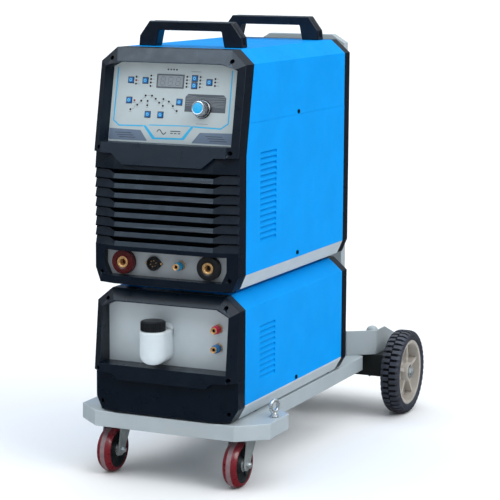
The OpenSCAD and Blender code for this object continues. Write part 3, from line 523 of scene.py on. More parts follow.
# columns of diodes, each with a dash beside it: across, heights, and which of them is lit
LED_COLUMNS = [(-87.6, (158.8, 151.7, 144.6), 1),
               (-53.6, (162.4, 155.3, 148.1, 141), None),
               (29, (162.6, 155.7, 148.8, 141.9), None),
               (59.3, (163.1, 156.1, 149.2, 142.2), None),
               (93, (160, 153, 145.9), None)]
for x, levels, lit in LED_COLUMNS:
    for k, s in enumerate(levels):
        lamp_on(x, s, 2.1, k == lit)
        dash(x + 3.2, s - 0.5, RANDOM.uniform(3.2, 6.5))

# the welding cycle drawn as a line, with diodes along it and four more beside it
CURVE = [(-95.6, 91.1), (-80.5, 101), (-72, 109.6), (-62.9, 120.8), (-48, 121.1), (-39, 114.9),
         (-30.2, 107), (-21.2, 115.1), (-8.2, 110.3), (1.9, 101.4), (11.4, 91.6)]
LOOSE = [(-87.8, 109.8), (-57.1, 109.7), (-57.1, 100.9), (-21.2, 101)]
for k, (x, s) in enumerate(CURVE + LOOSE):
    lamp_on(x, s, 2.2, k == len(CURVE))
GRAPH = [(-93, 92.4), (-88, 92.6), (-85.5, 100.6), (-79.5, 101.2), (-63.6, 119.6), (-62, 120.9),
         (-48, 121.2), (-30.2, 107.2), (-22.5, 106.2), (-21.2, 113), (-9, 111), (1.9, 101.4),
         (6, 92.2), (10, 91.8)]
print_on(ribbon(GRAPH, 0.6), "line_ink")
for x, s in CURVE + LOOSE:
    dash(x - 3.4, s - 5.0, RANDOM.uniform(5.0, 7.5), height=0.7)
for x in (-15.5, -9, -2.5, 4):
    art.add(lathe([(0, 0), (1.8, 0), (1.8, 0.3), (0, 0.8)], 16), "led_dark",
            on_panel(x, 176.4))
dash(38, 173, 22, height=1.0)
dash(58, 66.5, 26, height=1.0)

# dark plate under the knob, with fine curved lines
print_on([(29, 91), (121, 91), (121, 121.6), (115, 127.6), (35, 127.6), (29, 121.6)],
         "plate_ink")
PLATE_LINES, LINE_POINTS, PLATE_EDGE = 7, 30, 126.4
for k in range(PLATE_LINES):
    line = [(30.5 + 3.05 * j, 104 + 3.1 * k + 2.2 * math.sin(0.16 * j + 0.35 * k))
            for j in range(LINE_POINTS)]
    line = [(x, s) for x, s in line if s < PLATE_EDGE]
    if len(line) > 3:
        print_on(ribbon(line, 0.55), "plate_line", INK)


def panel_spot(node):
    """The node's middle, across and up the panel."""
    low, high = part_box(node)
    spot = on_panel(0, 0).inverted() @ ((low + high) / 2)
    return spot.x, spot.y


# a raised surround of four bars round each button
BUTTONS = {f"button_{k}": panel_spot(f"button_{k}") for k in range(1, 10)}
SURROUND_IN, SURROUND_OUT = 5.75, 6.9
BAR = [(-SURROUND_OUT, SURROUND_IN), (SURROUND_IN, SURROUND_IN), (SURROUND_IN, SURROUND_OUT),
       (-SURROUND_OUT, SURROUND_OUT)]
for spot in BUTTONS.values():
    for turn in range(4):
        quarter = Matrix.Rotation(turn * math.pi / 2, 4, "Z")
        art.add(prism(BAR, 0.4), "dark_ink", on_panel(*spot) @ quarter)
art.done("panel_artwork")


# ---------------------------------------------------------------- buttons, knob, display

BUTTON_HALF, LIP_HALF = 5.3, 6.8
BUTTON_PLAN = [(-BUTTON_HALF, -BUTTON_HALF), (BUTTON_HALF, -BUTTON_HALF),
               (BUTTON_HALF, BUTTON_HALF), (-BUTTON_HALF, BUTTON_HALF)]
BUTTON_RING = [(3.2, 2.1), (3.2, 2.45), (1.7, 2.45), (1.7, 2.1), (3.2, 2.1)]
for node, spot in BUTTONS.items():
    place = on_panel(*spot)
    cap = Shape()
    cap.add(prism(BUTTON_PLAN, 6.2, -4), "button_plastic", place, 0.7, 3)
    # lip behind the panel that keeps the button in
    cap.add(slab(-LIP_HALF, LIP_HALF, -BUTTON_HALF, BUTTON_HALF, -3.7, -2.3), "button_plastic",
            place, 0.2)
    cap.add(lathe(BUTTON_RING, 24), "icon_blue", place)
    cap.done(node + "_cap", body=node, replaces=[node])

KNOB = (70, 97)
knob_place = on_panel(*KNOB)
SKIRT = [(0, 0.4), (18.9, 0.4), (19.5, 1.0), (19.5, 2.2), (18.9, 2.8), (0, 2.8)]
COLLAR = [(0, 2.6), (17.6, 2.6), (18.2, 3.2), (18.2, 4.6), (17.4, 5.4), (0, 5.4)]
GAP = [(0, 5.2), (16.6, 5.2), (16.6, 7.2), (0, 7.2)]
GRIP = [(0, 7), (15.5, 7), (15.5, 8), (15.3, 15), (14.9, 22), (14.2, 24.2), (12.9, 25.0),
        (11.4, 24.8), (11.1, 24.2), (0, 24.2)]
CAP_DISC = [(0, 23.5), (10.9, 23.5), (10.9, 24.6), (10.2, 24.95), (0, 25.0)]
SPINDLE = [(0, 0.2), (3.5, 0.2), (3.5, -12), (0, -12)]
knob = Shape()
# the skirt and the ring in the neck are black: painted shade round the knob's foot and under its
# grip
knob.add(lathe(SKIRT, 64), "black_socket", knob_place)
knob.add(lathe(COLLAR, 64), "silver_plastic", knob_place)
knob.add(lathe(GAP, 64), "black_socket", knob_place)
knob.add(lathe(GRIP, 144, ribs=36, rib_depth=0.7, ribbed_from=14.4), "silver_plastic",
         knob_place)
knob.add(lathe(CAP_DISC, 64), "cap_blue", knob_place)
knob.add(lathe(SPINDLE, 24), "silver_plastic", knob_place)
knob.done("knob_dial", body="encoder_knob", replaces=["encoder_knob"])

# display: a frame round a window, and three unlit digits of seven segments
SEGMENTS = [(0, 1, 1, 1), (0, 0.5, 1, 0.5), (0, 0, 1, 0),
            (0, 0.5, 0, 1), (1, 0.5, 1, 1), (0, 0, 0, 0.5), (1, 0, 1, 0.5)]
FRAME_WIDTH, FRAME_OUT, WINDOW_OUT, GHOST = 2.5, 1.6, 0.9, 0.12
DIGIT_WIDTH, DIGIT_HEIGHT, DIGIT_PITCH, DIGIT_SLANT = 9.5, 17, 17.5, 1.6
x0, s0, x1, s1 = -39.5, 138, 22.8, 166.3
panel = on_panel(0, 0)
display = Shape()
for a, b, c, d in ((x0, s0, x1, s0 + FRAME_WIDTH), (x0, s1 - FRAME_WIDTH, x1, s1),
                   (x0, s0 + FRAME_WIDTH, x0 + FRAME_WIDTH, s1 - FRAME_WIDTH),
                   (x1 - FRAME_WIDTH, s0 + FRAME_WIDTH, x1, s1 - FRAME_WIDTH)):
    display.add(slab(a, c, b, d, 0, FRAME_OUT), "plate_ink", panel, 0.35)
display.add(slab(x0 + 1, x1 - 1, s0 + 1, s1 - 1, 0, WINDOW_OUT), "display_film", panel)
for k in range(3):
    left, foot = x0 + 8.5 + k * DIGIT_PITCH, s0 + 5.6
    for ax, ay, bx, by in SEGMENTS:
        start, end = (Vector((left + px * DIGIT_WIDTH + py * DIGIT_SLANT,
                              foot + py * DIGIT_HEIGHT)) for px, py in ((ax, ay), (bx, by)))
        inset = (end - start).normalized() * 1.0
        line = [tuple(start + inset), tuple(end - inset)]
        display.add(prism(ribbon(line, 1.7), GHOST, WINDOW_OUT), "ghost", panel)
    point = circle(0.9, 12, (left + DIGIT_WIDTH + 3, foot))
    display.add(prism(point, GHOST, WINDOW_OUT), "ghost", panel)
display.done("display_face", replaces=["display_window"])


# ---------------------------------------------------------------- sockets and couplings

PLATE_Y = box_of("connector_plate")[0].y

# welding socket: the moulded body, the brass ring, a near-black disc at the end of its bore that
# is painted shade, the rear stub
SOCKET_BODY = [(0, 0), (25.3, 0), (25.8, 0.6), (25.8, 2.4), (25.1, 3.2), (24.9, 4.0),
               (25.3, 4.8), (25.4, 11.6), (24.8, 13.2), (23.2, 14), (15.4, 14), (14.4, 13.7),
               (13.5, 12.7), (12.6, 12.5), (7.4, 12.5), (7.4, -2), (0, -2)]
SOCKET_RING = [(6.6, -1.6), (7.3, -1.6), (12.3, 12.4), (12.3, 13.4), (11.5, 14.1), (9.0, 14.1),
               (7.9, 13.4), (6.6, 11.4), (6.6, -1.6)]
BORE_SHADE = [(0, -2.1), (7.4, -2.1), (7.4, -1.4), (0, -1.4)]
SOCKET_STUB = [(0, -16), (15.3, -16), (15.3, 0.2), (0, 0.2)]
for node, title in (("positive_socket", "red_socket"), ("negative_socket", "black_socket")):
    spot = middle(node)
    face = to_front((spot.x, PLATE_Y, spot.z))
    socket = Shape()
    for profile, sides, name in ((SOCKET_BODY, 72, title), (SOCKET_RING, 56, "brass"),
                                 (BORE_SHADE, 32, "dark_hole"), (SOCKET_STUB, 32, title)):
        socket.add(lathe(profile, sides), name, face)
    socket.done(node + "_body", replaces=[node])

# control socket: a flange with two screws, a keyed ring and six pins
PINS, PIN_CIRCLE, PIN_TURN, PIN_FOOT = 6, 6.4, 0.26, 3
FLANGE = [(-21, 0), (-13, -8), (-5, -14.5), (5, -14.5), (13, -8), (21, 0), (13, 8), (5, 14.5),
          (-5, 14.5), (-13, 8)]
spot = middle("control_socket")
face = to_front((spot.x, PLATE_Y, spot.z))
socket = Shape()
socket.add(prism(FLANGE, 2.0), "black_socket", face, 0.5)
socket.add(lathe([(11.5, 1), (15, 1), (15, 6.8), (14.2, 8), (12.1, 8), (11.5, 7.2),
                  (11.5, 1)], 56), "black_socket", face)
socket.add(lathe([(0, 0), (11.6, 0), (11.6, 3.2), (0, 3.2)], 40), "black_socket", face)
for k in range(PINS):
    angle = math.tau * k / PINS + PIN_TURN
    pin = face @ Matrix.Translation((PIN_CIRCLE * math.cos(angle), PIN_CIRCLE * math.sin(angle),
                                     PIN_FOOT))
    socket.add(lathe([(0, 0), (1.1, 0), (1.1, 2.6), (0.6, 3.1), (0, 3.1)], 12), "brass", pin)
socket.add(slab(-1.5, 1.5, 9.4, 11.8, 3, 7), "black_socket", face, 0.3)
for side in (-1, 1):
    head = face @ Matrix.Translation((side * 17, 0, 2))
    socket.add(lathe([(0, 0), (2.5, 0), (2.4, 0.9), (1.4, 1.5), (0, 1.6)], 20), "brass", head)
socket.add(lathe([(0, -14), (9.9, -14), (9.9, 0.1), (0, 0.1)], 32), "black_socket", face)
socket.done("control_socket_body", replaces=["control_socket"])


def coupling(name, node, spot, wall_y, collar):
    """Hose coupling: brass hexagon, ribbed coloured collar, brass nose with a bore."""
    place = to_front((spot[0], wall_y, spot[1]))
    made = Shape()
    made.add(prism(circle(10.9, 6, start=math.pi / 6), 3.6), "brass", place, 0.5)
    made.add(lathe([(0, 3.2), (8.0, 3.2), (8.5, 4.0), (8.5, 19.4), (7.9, 20.6), (7.3, 21.4),
                    (0, 21.4)], 96, ribs=32, rib_depth=0.35, ribbed_from=8.2), collar, place)
    for height in (6.0, 12.0, 18.0):
        made.add(torus(8.35, 0.5, 40, 8), collar, place @ Matrix.Translation((0, 0, height)))
    made.add(lathe([(3.1, 21.6), (6.4, 21.2), (7.0, 22), (7.0, 25.2), (6.4, 26), (5.3, 26),
                    (4.6, 25.4), (3.1, 21.6)], 48), "brass", place)
    # near-black disc in the nose's bore: painted shade
    made.add(lathe([(0, 21.3), (4.4, 21.3), (4.4, 22.0), (0, 22.0)], 20), "dark_hole", place)
    made.add(lathe([(0, -9.8), (6.4, -9.8), (6.4, 0.1), (0, 0.1)], 24), "brass", place)
    made.done(name, replaces=[node])


gas = middle("gas_outlet")
coupling("gas_coupling", "gas_outlet", (gas.x, gas.z), PLATE_Y, "collar_teal")
COOLER_Y = box_of("cooler_front_panel")[0].y
COUPLING_FLANGE = 11
low, high = box_of("coolant_couplings")
for name, z, collar in (
        ("coolant_return_coupling", high.z - COUPLING_FLANGE, "collar_red"),
        ("coolant_supply_coupling", low.z + COUPLING_FLANGE, "collar_blue")):
    coupling(name, "coolant_couplings", ((low.x + high.x) / 2, z), COOLER_Y, collar)


# ---------------------------------------------------------------- filler bottle and cap

low, high = box_of("filler_bottle")
bottle_r = (high.x - low.x) / 2
bottle_x, bottle_y = (low.x + high.x) / 2, low.y + bottle_r


def bottle_row(inset, height):
    """Plan of the bottle, drawn in by an inset: straight cheeks and a round front."""
    r = bottle_r - inset
    arc = circle(r, 40, start=math.pi, sweep=math.pi)
    return ([(r, COOLER_Y - bottle_y, height), (-r, COOLER_Y - bottle_y, height)]
            + [(x, y, height) for x, y in arc] + [(r, 0, height)])


BASE_ROUND, SHOULDER, BODY_TOP = 22, 5, 329
rows = [bottle_row(BASE_ROUND * (1 - math.sin(a)), low.z + BASE_ROUND * (1 - math.cos(a)))
        for a in (math.pi / 2 * k / 9 for k in range(10))]
rows += [bottle_row(SHOULDER * (1 - math.cos(a)), BODY_TOP - SHOULDER + SHOULDER * math.sin(a))
         for a in (math.pi / 2 * k / 5 for k in range(6))]
NECK = [(0, 326), (23, 326), (23, 328.6), (22.6, 329.4), (22.6, 347), (22, 348), (20.5, 348),
        (20, 347), (20, 340), (0, 340)]
bottle = Shape()
bottle_place = turned((bottle_x, bottle_y, 0))
bottle.add(loft(rows), "white_plastic", bottle_place)
bottle.add(lathe(NECK, 56), "white_plastic", bottle_place)

# tall back of the bottle, behind the cap, with rounded upper corners
BACK_FOOT, BACK_TOP, BACK_ROUND, BACK_FRONT = 310, 340, 11, 32
corner_x, corner_z = bottle_r - BACK_ROUND, BACK_TOP - BACK_ROUND
tall_back = [(-bottle_r, BACK_FOOT), (bottle_r, BACK_FOOT)]
tall_back += circle(BACK_ROUND, 8, (corner_x, corner_z), sweep=math.pi / 2)
tall_back += [(corner_x, BACK_TOP)]
tall_back += circle(BACK_ROUND, 8, (-corner_x, corner_z), math.pi / 2, math.pi / 2)
tall_back += [(-bottle_r, corner_z)]
bottle.add(prism(tall_back, COOLER_Y - bottle_y - BACK_FRONT), "white_plastic",
           to_front((bottle_x, COOLER_Y, 0)), 1.5)
bottle.done("filler_bottle_body", replaces=["filler_bottle"])

# ribbed cap: a shell open below, and the plug that closes the middle of its top
low, high = box_of("filler_cap")
cap_r, cap_h = (high.x - low.x) / 2, high.z - low.z
cap_inner, plug_r, cap_thick = 23.05, 4, 14
cap_place = turned((bottle_x, bottle_y, low.z))
CAP_SHELL = [(cap_inner, 0), (cap_r - 0.6, 0), (cap_r, 0.8), (cap_r, cap_h - 4.0),
             (cap_r - 0.8, cap_h - 1.8), (cap_r - 2.8, cap_h - 0.5), (cap_r - 5, cap_h),
             (plug_r, cap_h - 0.4), (plug_r, cap_h - cap_thick), (cap_inner, cap_h - cap_thick),
             (cap_inner, 0)]
PLUG = [(0, cap_h - 13.5), (plug_r + 0.4, cap_h - 13.5), (plug_r + 0.4, cap_h - 0.5),
        (0, cap_h - 0.4)]
cap = Shape()
cap.add(lathe(CAP_SHELL, 240, ribs=40, rib_depth=0.9, ribbed_from=cap_r - 0.5), "cap_plastic",
        cap_place)
cap.add(lathe(PLUG, 24), "cap_plastic", cap_place)
cap.done("filler_cap_body", body="filler_cap", replaces=["filler_cap"])


# ---------------------------------------------------------------- casters

CASTER_R, CASTER_HALF, BAND_HALF = 50, 16, 5.2
TREAD_INNER, CROWN_R = 39.5, 20
TRAIL, PLATE_Z, PLATE_THICK, CHEEK_X = 28, 120, 4, 19
# half sections of the core, as (across, radius), and of its bushing, as (radius, across)
CORE = [(13.5, 39.8), (13.5, 36.5), (7, 33), (6, 20), (13, 17), (14.5, 14.5)]
BUSHING = [(5.06, 17), (10.5, 17), (10.5, 15), (14.8, 14.4)]
RACEWAY = [(6.06, 124), (22, 124), (27.5, 125.2), (29, 127), (29, 131), (27.6, 133.4),
           (24, 134), (6.06, 134), (6.06, 124)]


def caster_wheel(side, word, centre):
    """Red tread with a pale band round its middle, on a ribbed dark core."""
    place = to_side(centre, side)
    wheel = Shape()
    crown = [(CROWN_R * math.sin(a), CROWN_R * math.cos(a) + CASTER_R - CROWN_R)
             for a in (math.radians(d) for d in (15, 25, 36, 47, 53))]
    for way in (-1, 1):
        profile = [(TREAD_INNER, way * 4), (CASTER_R - 0.35, way * BAND_HALF)]
        profile += [(r, way * max(t, BAND_HALF)) for t, r in crown]
        profile += [(TREAD_INNER + 1, way * CASTER_HALF),
                    (TREAD_INNER, way * (CASTER_HALF - 1)), (TREAD_INNER, way * 4)]
        wheel.add(lathe(profile, 96), "caster_tread", place)
    wheel.add(lathe([(TREAD_INNER, -BAND_HALF), (CASTER_R - 0.3, -BAND_HALF),
                     (CASTER_R, -BAND_HALF + 1.2), (CASTER_R, BAND_HALF - 1.2),
                     (CASTER_R - 0.3, BAND_HALF), (TREAD_INNER, BAND_HALF),
                     (TREAD_INNER, -BAND_HALF)], 96), "tread_band", place)
    profile = [(r, -t) for t, r in CORE] + [(r, t) for t, r in reversed(CORE)]
    wheel.add(lathe(profile + profile[:1], 72), "caster_core", place)
    for k in range(5):
        spin = Matrix.Rotation(math.tau * k / 5 + 0.3, 4, "Z")
        wheel.add(slab(17, 36, -1.6, 1.6, -11.5, 11.5), "caster_core", place @ spin, 0.6)
    profile = [(r, -t) for r, t in BUSHING] + [(r, t) for r, t in reversed(BUSHING)]
    wheel.add(lathe(profile + profile[:1], 40), "zinc", place)
    wheel.done(f"caster_tyre_{word}", body=f"caster_wheel_{word}",
               replaces=[f"caster_wheel_{word}"])


def caster_fork(word, centre):
    """Swivel raceway and plate, two cheeks with a folded front edge, and the wheel's bolt."""
    swivel_y = centre.y + TRAIL
    upright = turned((centre.x, swivel_y, 0))
    fork = Shape()
    fork.add(lathe(RACEWAY, 64), "fork_zinc", upright)
    fork.add(prism([(-22, -24), (22, -24), (22, 24), (-22, 24)], PLATE_THICK, PLATE_Z),
             "fork_zinc", upright, 1.2)
    cheek = [(swivel_y - 24, PLATE_Z + 2), (swivel_y + 24, PLATE_Z + 2),
             (swivel_y + 22.5, 104)]
    cheek += circle(13, 12, (centre.y, centre.z), -0.75, -math.pi + 0.3)
    rim = [(swivel_y + 24.4, PLATE_Z), (swivel_y + 21, PLATE_Z), (swivel_y + 19, 104),
           (swivel_y + 22.6, 104)]
    for way in (-1, 1):
        base = turned((centre.x + way * CHEEK_X, 0, 0), Y * way, Z, X * way)
        fork.add(prism([(way * y, z) for y, z in cheek], 3), "fork_zinc", base, 0.8)
        fork.add(prism([(way * y, z) for y, z in rim], 7, -4.2), "fork_zinc", base, 0.6)
        nut = turned((centre.x + way * (CHEEK_X + 3), centre.y, centre.z), Y * way, Z, X * way)
        fork.add(lathe([(0, 0), (9.6, 0), (9.6, 0.8), (0, 0.8)], 32), "zinc", nut)
        fork.add(prism(circle(8, 6), 5.4, 0.8), "zinc", nut, 0.6)
        fork.add(lathe([(0, 6), (6.6, 6), (6.4, 7.4), (5.0, 8.8), (2.6, 9.9), (0, 10)], 24),
                 "zinc", nut)
    bolt = turned((centre.x - CHEEK_X, centre.y, centre.z), Y, Z, X)
    fork.add(lathe([(0, 0), (5, 0), (5, 2 * CHEEK_X), (0, 2 * CHEEK_X)], 24), "zinc", bolt)
    fork.done(f"caster_fork_{word}_body", body=f"caster_fork_{word}",
              replaces=[f"caster_fork_{word}"])


for side, word in ((1, "right"), (-1, "left")):
    centre = middle(f"caster_wheel_{word}")
    caster_wheel(side, word, centre)
    caster_fork(word, centre)


# ---------------------------------------------------------------- rear wheels

TREAD_BLOCKS, BLOCK_WIDTH, SPOKES = 42, 8.6, 5
# half section of the tyre's carcass, as (radius, across), and of one tread block on it
CARCASS = [(78.1, 20), (80, 21.6), (84, 22.6), (90, 22.8), (93.4, 21), (95.4, 15), (96, 4)]
BLOCK = [(1.0, 95), (1.0, 100.4), (1.8, 101), (12, 100.6), (18, 98.6), (22, 94.6), (23, 90.6),
         (22.6, 87.6), (20, 90), (17, 93.4)]
# near-black layer between the blocks: painted shade in the gaps
GROOVE_SHADE = [(94, -15.4), (95.6, -15.2), (96.2, -4), (96.2, 4), (95.6, 15.2), (94, 15.4),
          (94, -15.4)]
RIM = [(70, -20), (77, -20), (78, -19), (78, 19), (77, 20), (73, 20.2), (70, 19), (69.4, 12),
       (69, 3), (69, -3), (69.4, -12), (70, -20)]
WEB = [(10.06, -11), (69.6, -8.6), (69.6, -5.4), (10.06, -6), (10.06, -11)]
HUB = [(10.06, -19.5), (20.6, -19.5), (22, -18), (22.6, -4), (28, -3.6), (28, 3.6), (23.4, 4),
       (22, 18), (20.6, 19.5), (16, 19.5), (15.4, 17.5), (10.06, 17.5), (10.06, -19.5)]
SPOKE = [(20, -4.6), (69.8, -3.4), (69.8, 3.4), (20, 4.6)]


def rear_tyre(word, place):
    """Carcass with two staggered rows of tread blocks and a line round each side."""
    tyre = Shape()
    profile = [(r, -t) for r, t in CARCASS] + [(r, t) for r, t in reversed(CARCASS)]
    tyre.add(lathe(profile + profile[:1], 128), "tyre", place)
    # near-black layer under the blocks: painted shade in the gaps
    tyre.add(lathe(GROOVE_SHADE, 128), "dull_black", place)
    # own X is the radius, own Y runs along the tread, own Z across it
    lie = Matrix(((1, 0, 0, 0), (0, 0, -1, 0), (0, 1, 0, 0), (0, 0, 0, 1)))
    for row, way in enumerate((-1, 1)):
        section = [(r, way * t) for t, r in BLOCK]
        for k in range(TREAD_BLOCKS):
            turn = Matrix.Rotation(math.tau * (k + 0.5 * row) / TREAD_BLOCKS, 4, "Z")
            width = BLOCK_WIDTH * (1 + 0.06 * math.sin(2.1 * k + row))
            tyre.add(prism(section, width, -width / 2), "tyre", place @ turn @ lie, 0.7)
    for way in (-1, 1):
        tyre.add(lathe([(82.6, way * 22.2), (82.6, way * 23), (83.6, way * 23),
                        (83.6, way * 22.2), (82.6, way * 22.2)], 96), "tyre", place)
    tyre.done(f"rear_tread_{word}", body=f"rear_wheel_{word}",
              replaces=[f"rear_tyre_{word}"])


def rear_rim(word, place):
    """Moulded rim, web, hub and spokes, with a near-black patch on the hub's end: painted shade
    that stands for a slot.
    """
    rim = Shape()
    for profile, sides in ((RIM, 96), (WEB, 96), (HUB, 64)):
        rim.add(lathe(profile, sides), "rim_plastic", place)
    for k in range(SPOKES):
        spin = Matrix.Rotation(math.tau * k / SPOKES + math.pi / 2, 4, "Z")
        rim.add(prism(SPOKE, 26, -14), "rim_plastic", place @ spin, 1.2)
    # near-black patch on the hub's end: painted shade that stands for a slot
    rim.add(slab(-2.4, 2.4, 12.2, 18.4, 17.4, 19.7), "dark_hole", place)
    rim.done(f"rear_rim_{word}_body", body=f"rear_wheel_{word}",
             replaces=[f"rear_rim_{word}"])


for side, word in ((1, "right"), (-1, "left")):
    place = to_side(middle(f"rear_tyre_{word}"), side)
    rear_tyre(word, place)
    rear_rim(word, place)

AXLE_R, AXLE_END = 10, 251
axle = middle("rear_axle")
ends = Shape()
ends.add(lathe([(0, -AXLE_END), (AXLE_R, -AXLE_END), (AXLE_R, AXLE_END), (0, AXLE_END)], 40),
         "zinc", to_side((0, axle.y, axle.z), 1))
for side in (-1, 1):
    place = to_side((side * AXLE_END, axle.y, axle.z), side)
    ends.add(lathe([(0, 0), (13.6, 0), (14, 0.4), (14, 1.8), (13.4, 2.2), (0, 2.2)], 40),
             "zinc", place)
    ends.add(prism(circle(9.8, 6), 4.6, 2), "zinc", place, 0.7)
    ends.add(lathe([(0, 6), (6.4, 6), (6.2, 7), (4.6, 7.7), (0, 8)], 24), "zinc", place)
ends.done("rear_axle_body", replaces=["rear_axle"])


# ---------------------------------------------------------------- lifting eyes, rear inlets

EYE_FOOT = [(0, 0), (9.2, 0), (10, 0.8), (10, 2.8), (9.2, 4), (7.2, 4.6), (6.2, 8), (5, 10),
            (0, 10)]
EYE_R, EYE_WIRE, EYE_HEIGHT, EYE_TWIST = 12, 4, 23, math.radians(-16)
low, high = box_of("eye_bolts")
eye_y = (low.y + high.y) / 2
twist = Matrix.Rotation(EYE_TWIST, 3, "Z")
eyes = Shape()
for side in (-1, 1):
    x = side * (high.x - 10)
    eyes.add(lathe(EYE_FOOT, 40), "zinc", turned((x, eye_y, low.z)))
    eyes.add(torus(EYE_R, EYE_WIRE, 48, 16), "zinc",
             turned((x, eye_y, low.z + EYE_HEIGHT), twist @ Y, Z, twist @ X))
eyes.done("lifting_eyes", replaces=["eye_bolts"])

# mains gland above the gas inlet, in line behind the rear panel
INLET_X, INLET_REACH, GLAND_BORE, HOSE_BORE = 70, 17, 6, 3.1
low, high = box_of("rear_inlets")
panel_back = high.y - INLET_REACH
gland = to_rear((INLET_X, panel_back, high.z - 13.86))
hose = to_rear((INLET_X, panel_back, low.z + 11))
inlets = Shape()


def inlet_core(place, bore):
    """Near-black disc at the end of the bore, which is painted shade, and the shank through the
    panel.
    """
    inlets.add(lathe([(0, -2), (bore + 0.4, -2), (bore + 0.4, 3), (0, 3)], 24), "dark_hole",
               place)
    inlets.add(lathe([(0, -10), (8.8, -10), (8.8, 0.2), (0, 0.2)], 24), "fan_plastic", place)


inlets.add(prism(circle(15.8, 6), 6), "fan_plastic", gland, 0.8)
inlets.add(lathe([(GLAND_BORE, 2), (12, 2), (12, 13), (11.2, 15.6), (8.8, 17), (GLAND_BORE, 17),
                  (GLAND_BORE, 2)], 96, ribs=16, rib_depth=0.6, ribbed_from=11.6),
           "fan_plastic", gland)
inlet_core(gland, GLAND_BORE)
inlets.add(prism(circle(11, 6), 4), "brass", hose, 0.5)
inlets.add(lathe([(HOSE_BORE, 2), (5.4, 2), (5.4, 5), (6, 7), (5.2, 8), (6, 11), (5.2, 12),
                  (6, 15), (5, 17), (HOSE_BORE, 17), (HOSE_BORE, 2)], 40), "brass", hose)
inlet_core(hose, HOSE_BORE)
inlets.done("inlet_fittings", replaces=["rear_inlets"])

# on and off marks on the mains rocker, let into its face
MARK_DEEP, MARK_OUT = -2.6, -0.4
spot = middle("power_switch")
rocker = to_rear((spot.x, box_of("power_switch")[1].y, spot.z))
marks = Shape()
marks.add(slab(-1, 1, 6.5, 13.5, MARK_DEEP, MARK_OUT), "white_ink", rocker)
marks.add(lathe([(3.6, MARK_DEEP), (3.6, MARK_OUT), (2.6, MARK_OUT), (2.6, MARK_DEEP),
                 (3.6, MARK_DEEP)], 28), "white_ink", rocker @ Matrix.Translation((0, -10, 0)))
marks.done("switch_marks", body="power_switch")


# ---------------------------------------------------------------- studio

FLOOR_REACH = 120                # in metres
floor_shape = bmesh.new()
corners = [floor_shape.verts.new((x, y, 0)) for x, y in circle(FLOOR_REACH, 48)]
floor_shape.faces.new(corners)
floor_mesh = bpy.data.meshes.new("studio_floor")
floor_shape.to_mesh(floor_mesh)
floor_shape.free()
floor_mesh.materials.append(finish((0.86, 0.86, 0.865), 0.75, mottle=0.004, patch=0.6,
                                   relief=0.000002, Specular_IOR_Level=0.1))
studio_floor = bpy.data.objects.new("studio_floor", floor_mesh)
bpy.context.scene.collection.objects.link(studio_floor)
studio_floor.visible_glossy = False

world = bpy.data.worlds.new("studio")
bpy.context.scene.world = world
world.use_nodes = True
sky = world.node_tree
direction = sky.nodes.new("ShaderNodeTexCoord")
split = sky.nodes.new("ShaderNodeSeparateXYZ")
ramp = sky.nodes.new("ShaderNodeValToRGB")
sky.links.new(direction.outputs["Generated"], split.inputs[0])
sky.links.new(split.outputs["Z"], ramp.inputs["Fac"])
# brightness of the sky by the sine of the height: dim below, bright overhead, a little cool
SKY = [(0.0, 0.08), (0.03, 0.2), (0.5, 0.36), (0.8, 1.9)]
SKY_TINT = (0.93, 0.98, 1.02)
steps = ramp.color_ramp.elements
while len(steps) < len(SKY):
    steps.new(0.5)
for step, (height, brightness) in zip(steps, SKY):
    step.position = height
    step.color = (*(brightness * c for c in SKY_TINT), 1)
sky_light = sky.nodes["Background"]
sky.links.new(ramp.outputs["Color"], sky_light.inputs["Color"])
# beyond the edge of the floor the studio looks as pale as the floor does
seen_wall = sky.nodes.new("ShaderNodeBackground")
seen_wall.inputs["Color"].default_value = (1, 1, 1, 1)
ray = sky.nodes.new("ShaderNodeLightPath")
chosen = sky.nodes.new("ShaderNodeMixShader")
sky.links.new(ray.outputs["Is Camera Ray"], chosen.inputs["Fac"])
sky.links.new(sky_light.outputs["Background"], chosen.inputs[1])
sky.links.new(seen_wall.outputs["Background"], chosen.inputs[2])
sky.links.new(chosen.outputs["Shader"], sky.nodes["World Output"].inputs["Surface"])


def sun(name, towards, strength, spread):
    """Distant soft light that shines from the direction towards."""
    data = bpy.data.lights.new(name, "SUN")
    data.energy = strength
    data.angle = math.radians(spread)
    lamp = bpy.data.objects.new(name, data)
    lamp.rotation_mode = "QUATERNION"
    lamp.rotation_quaternion = Vector(towards).to_track_quat("Z", "Y")
    bpy.context.scene.collection.objects.link(lamp)
    return lamp


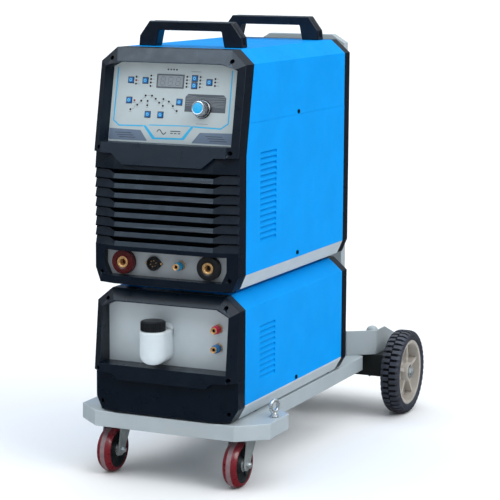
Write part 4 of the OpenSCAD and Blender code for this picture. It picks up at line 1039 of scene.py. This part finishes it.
SOFTBOX_DISTANCE, SOFTBOX_AIM, SOFTBOX_TINT = 5, Vector((0, 0, 0.6)), (0.58, 0.79, 1.0)


def gloss_panel(name, towards, width, height, strength):
    """Softbox that only shows as a reflection, sized in metres."""
    data = bpy.data.lights.new(name, "AREA")
    data.shape = "RECTANGLE"
    data.size, data.size_y = width, height
    data.energy = strength * math.pi * width * height
    data.color = SOFTBOX_TINT
    lamp = bpy.data.objects.new(name, data)
    towards = Vector(towards).normalized()
    lamp.rotation_mode = "QUATERNION"
    lamp.rotation_quaternion = towards.to_track_quat("Z", "Y")
    lamp.location = towards * SOFTBOX_DISTANCE + SOFTBOX_AIM
    lamp.visible_camera = lamp.visible_diffuse = lamp.visible_shadow = False
    bpy.context.scene.collection.objects.link(lamp)


sun("key", (0.80, -0.22, 0.66), 1.05, 32)
sun("fill", (-0.1, -0.93, 0.3), 0.2, 50).visible_glossy = False
gloss_panel("gloss_front", (-0.45, -0.84, 0.50), 3.0, 1.7, 4.2)
gloss_panel("gloss_top", (-0.15, -0.35, 0.92), 3.6, 2.5, 4.8)

# camera: where it looks from, in degrees and millimetres, and the point it looks at
AZIMUTH, ELEVATION, ROLL = (math.radians(a) for a in (24.23, 8.90, 0.36))
DISTANCE, LENS, FAR_CLIP = 4124.6, 138.27, 400
target = Vector((92.3, 217.3 + DATUM_Y, 472.8))
back = Vector((math.sin(AZIMUTH) * math.cos(ELEVATION),
               -math.cos(AZIMUTH) * math.cos(ELEVATION), math.sin(ELEVATION)))
level = Vector((math.cos(AZIMUTH), math.sin(AZIMUTH), 0))
right = math.cos(ROLL) * level + math.sin(ROLL) * back.cross(level)
camera_data = bpy.data.cameras.new("camera")
camera_data.sensor_width = 36
camera_data.lens = LENS
camera_data.clip_end = FAR_CLIP
camera = bpy.data.objects.new("camera", camera_data)
axes = Matrix((right, back.cross(right), back)).transposed().to_4x4()
camera.matrix_world = Matrix.Translation((target + back * DISTANCE) * MM) @ axes
bpy.context.scene.collection.objects.link(camera)
bpy.context.scene.camera = camera
bpy.context.scene.view_settings.view_transform = "Standard"
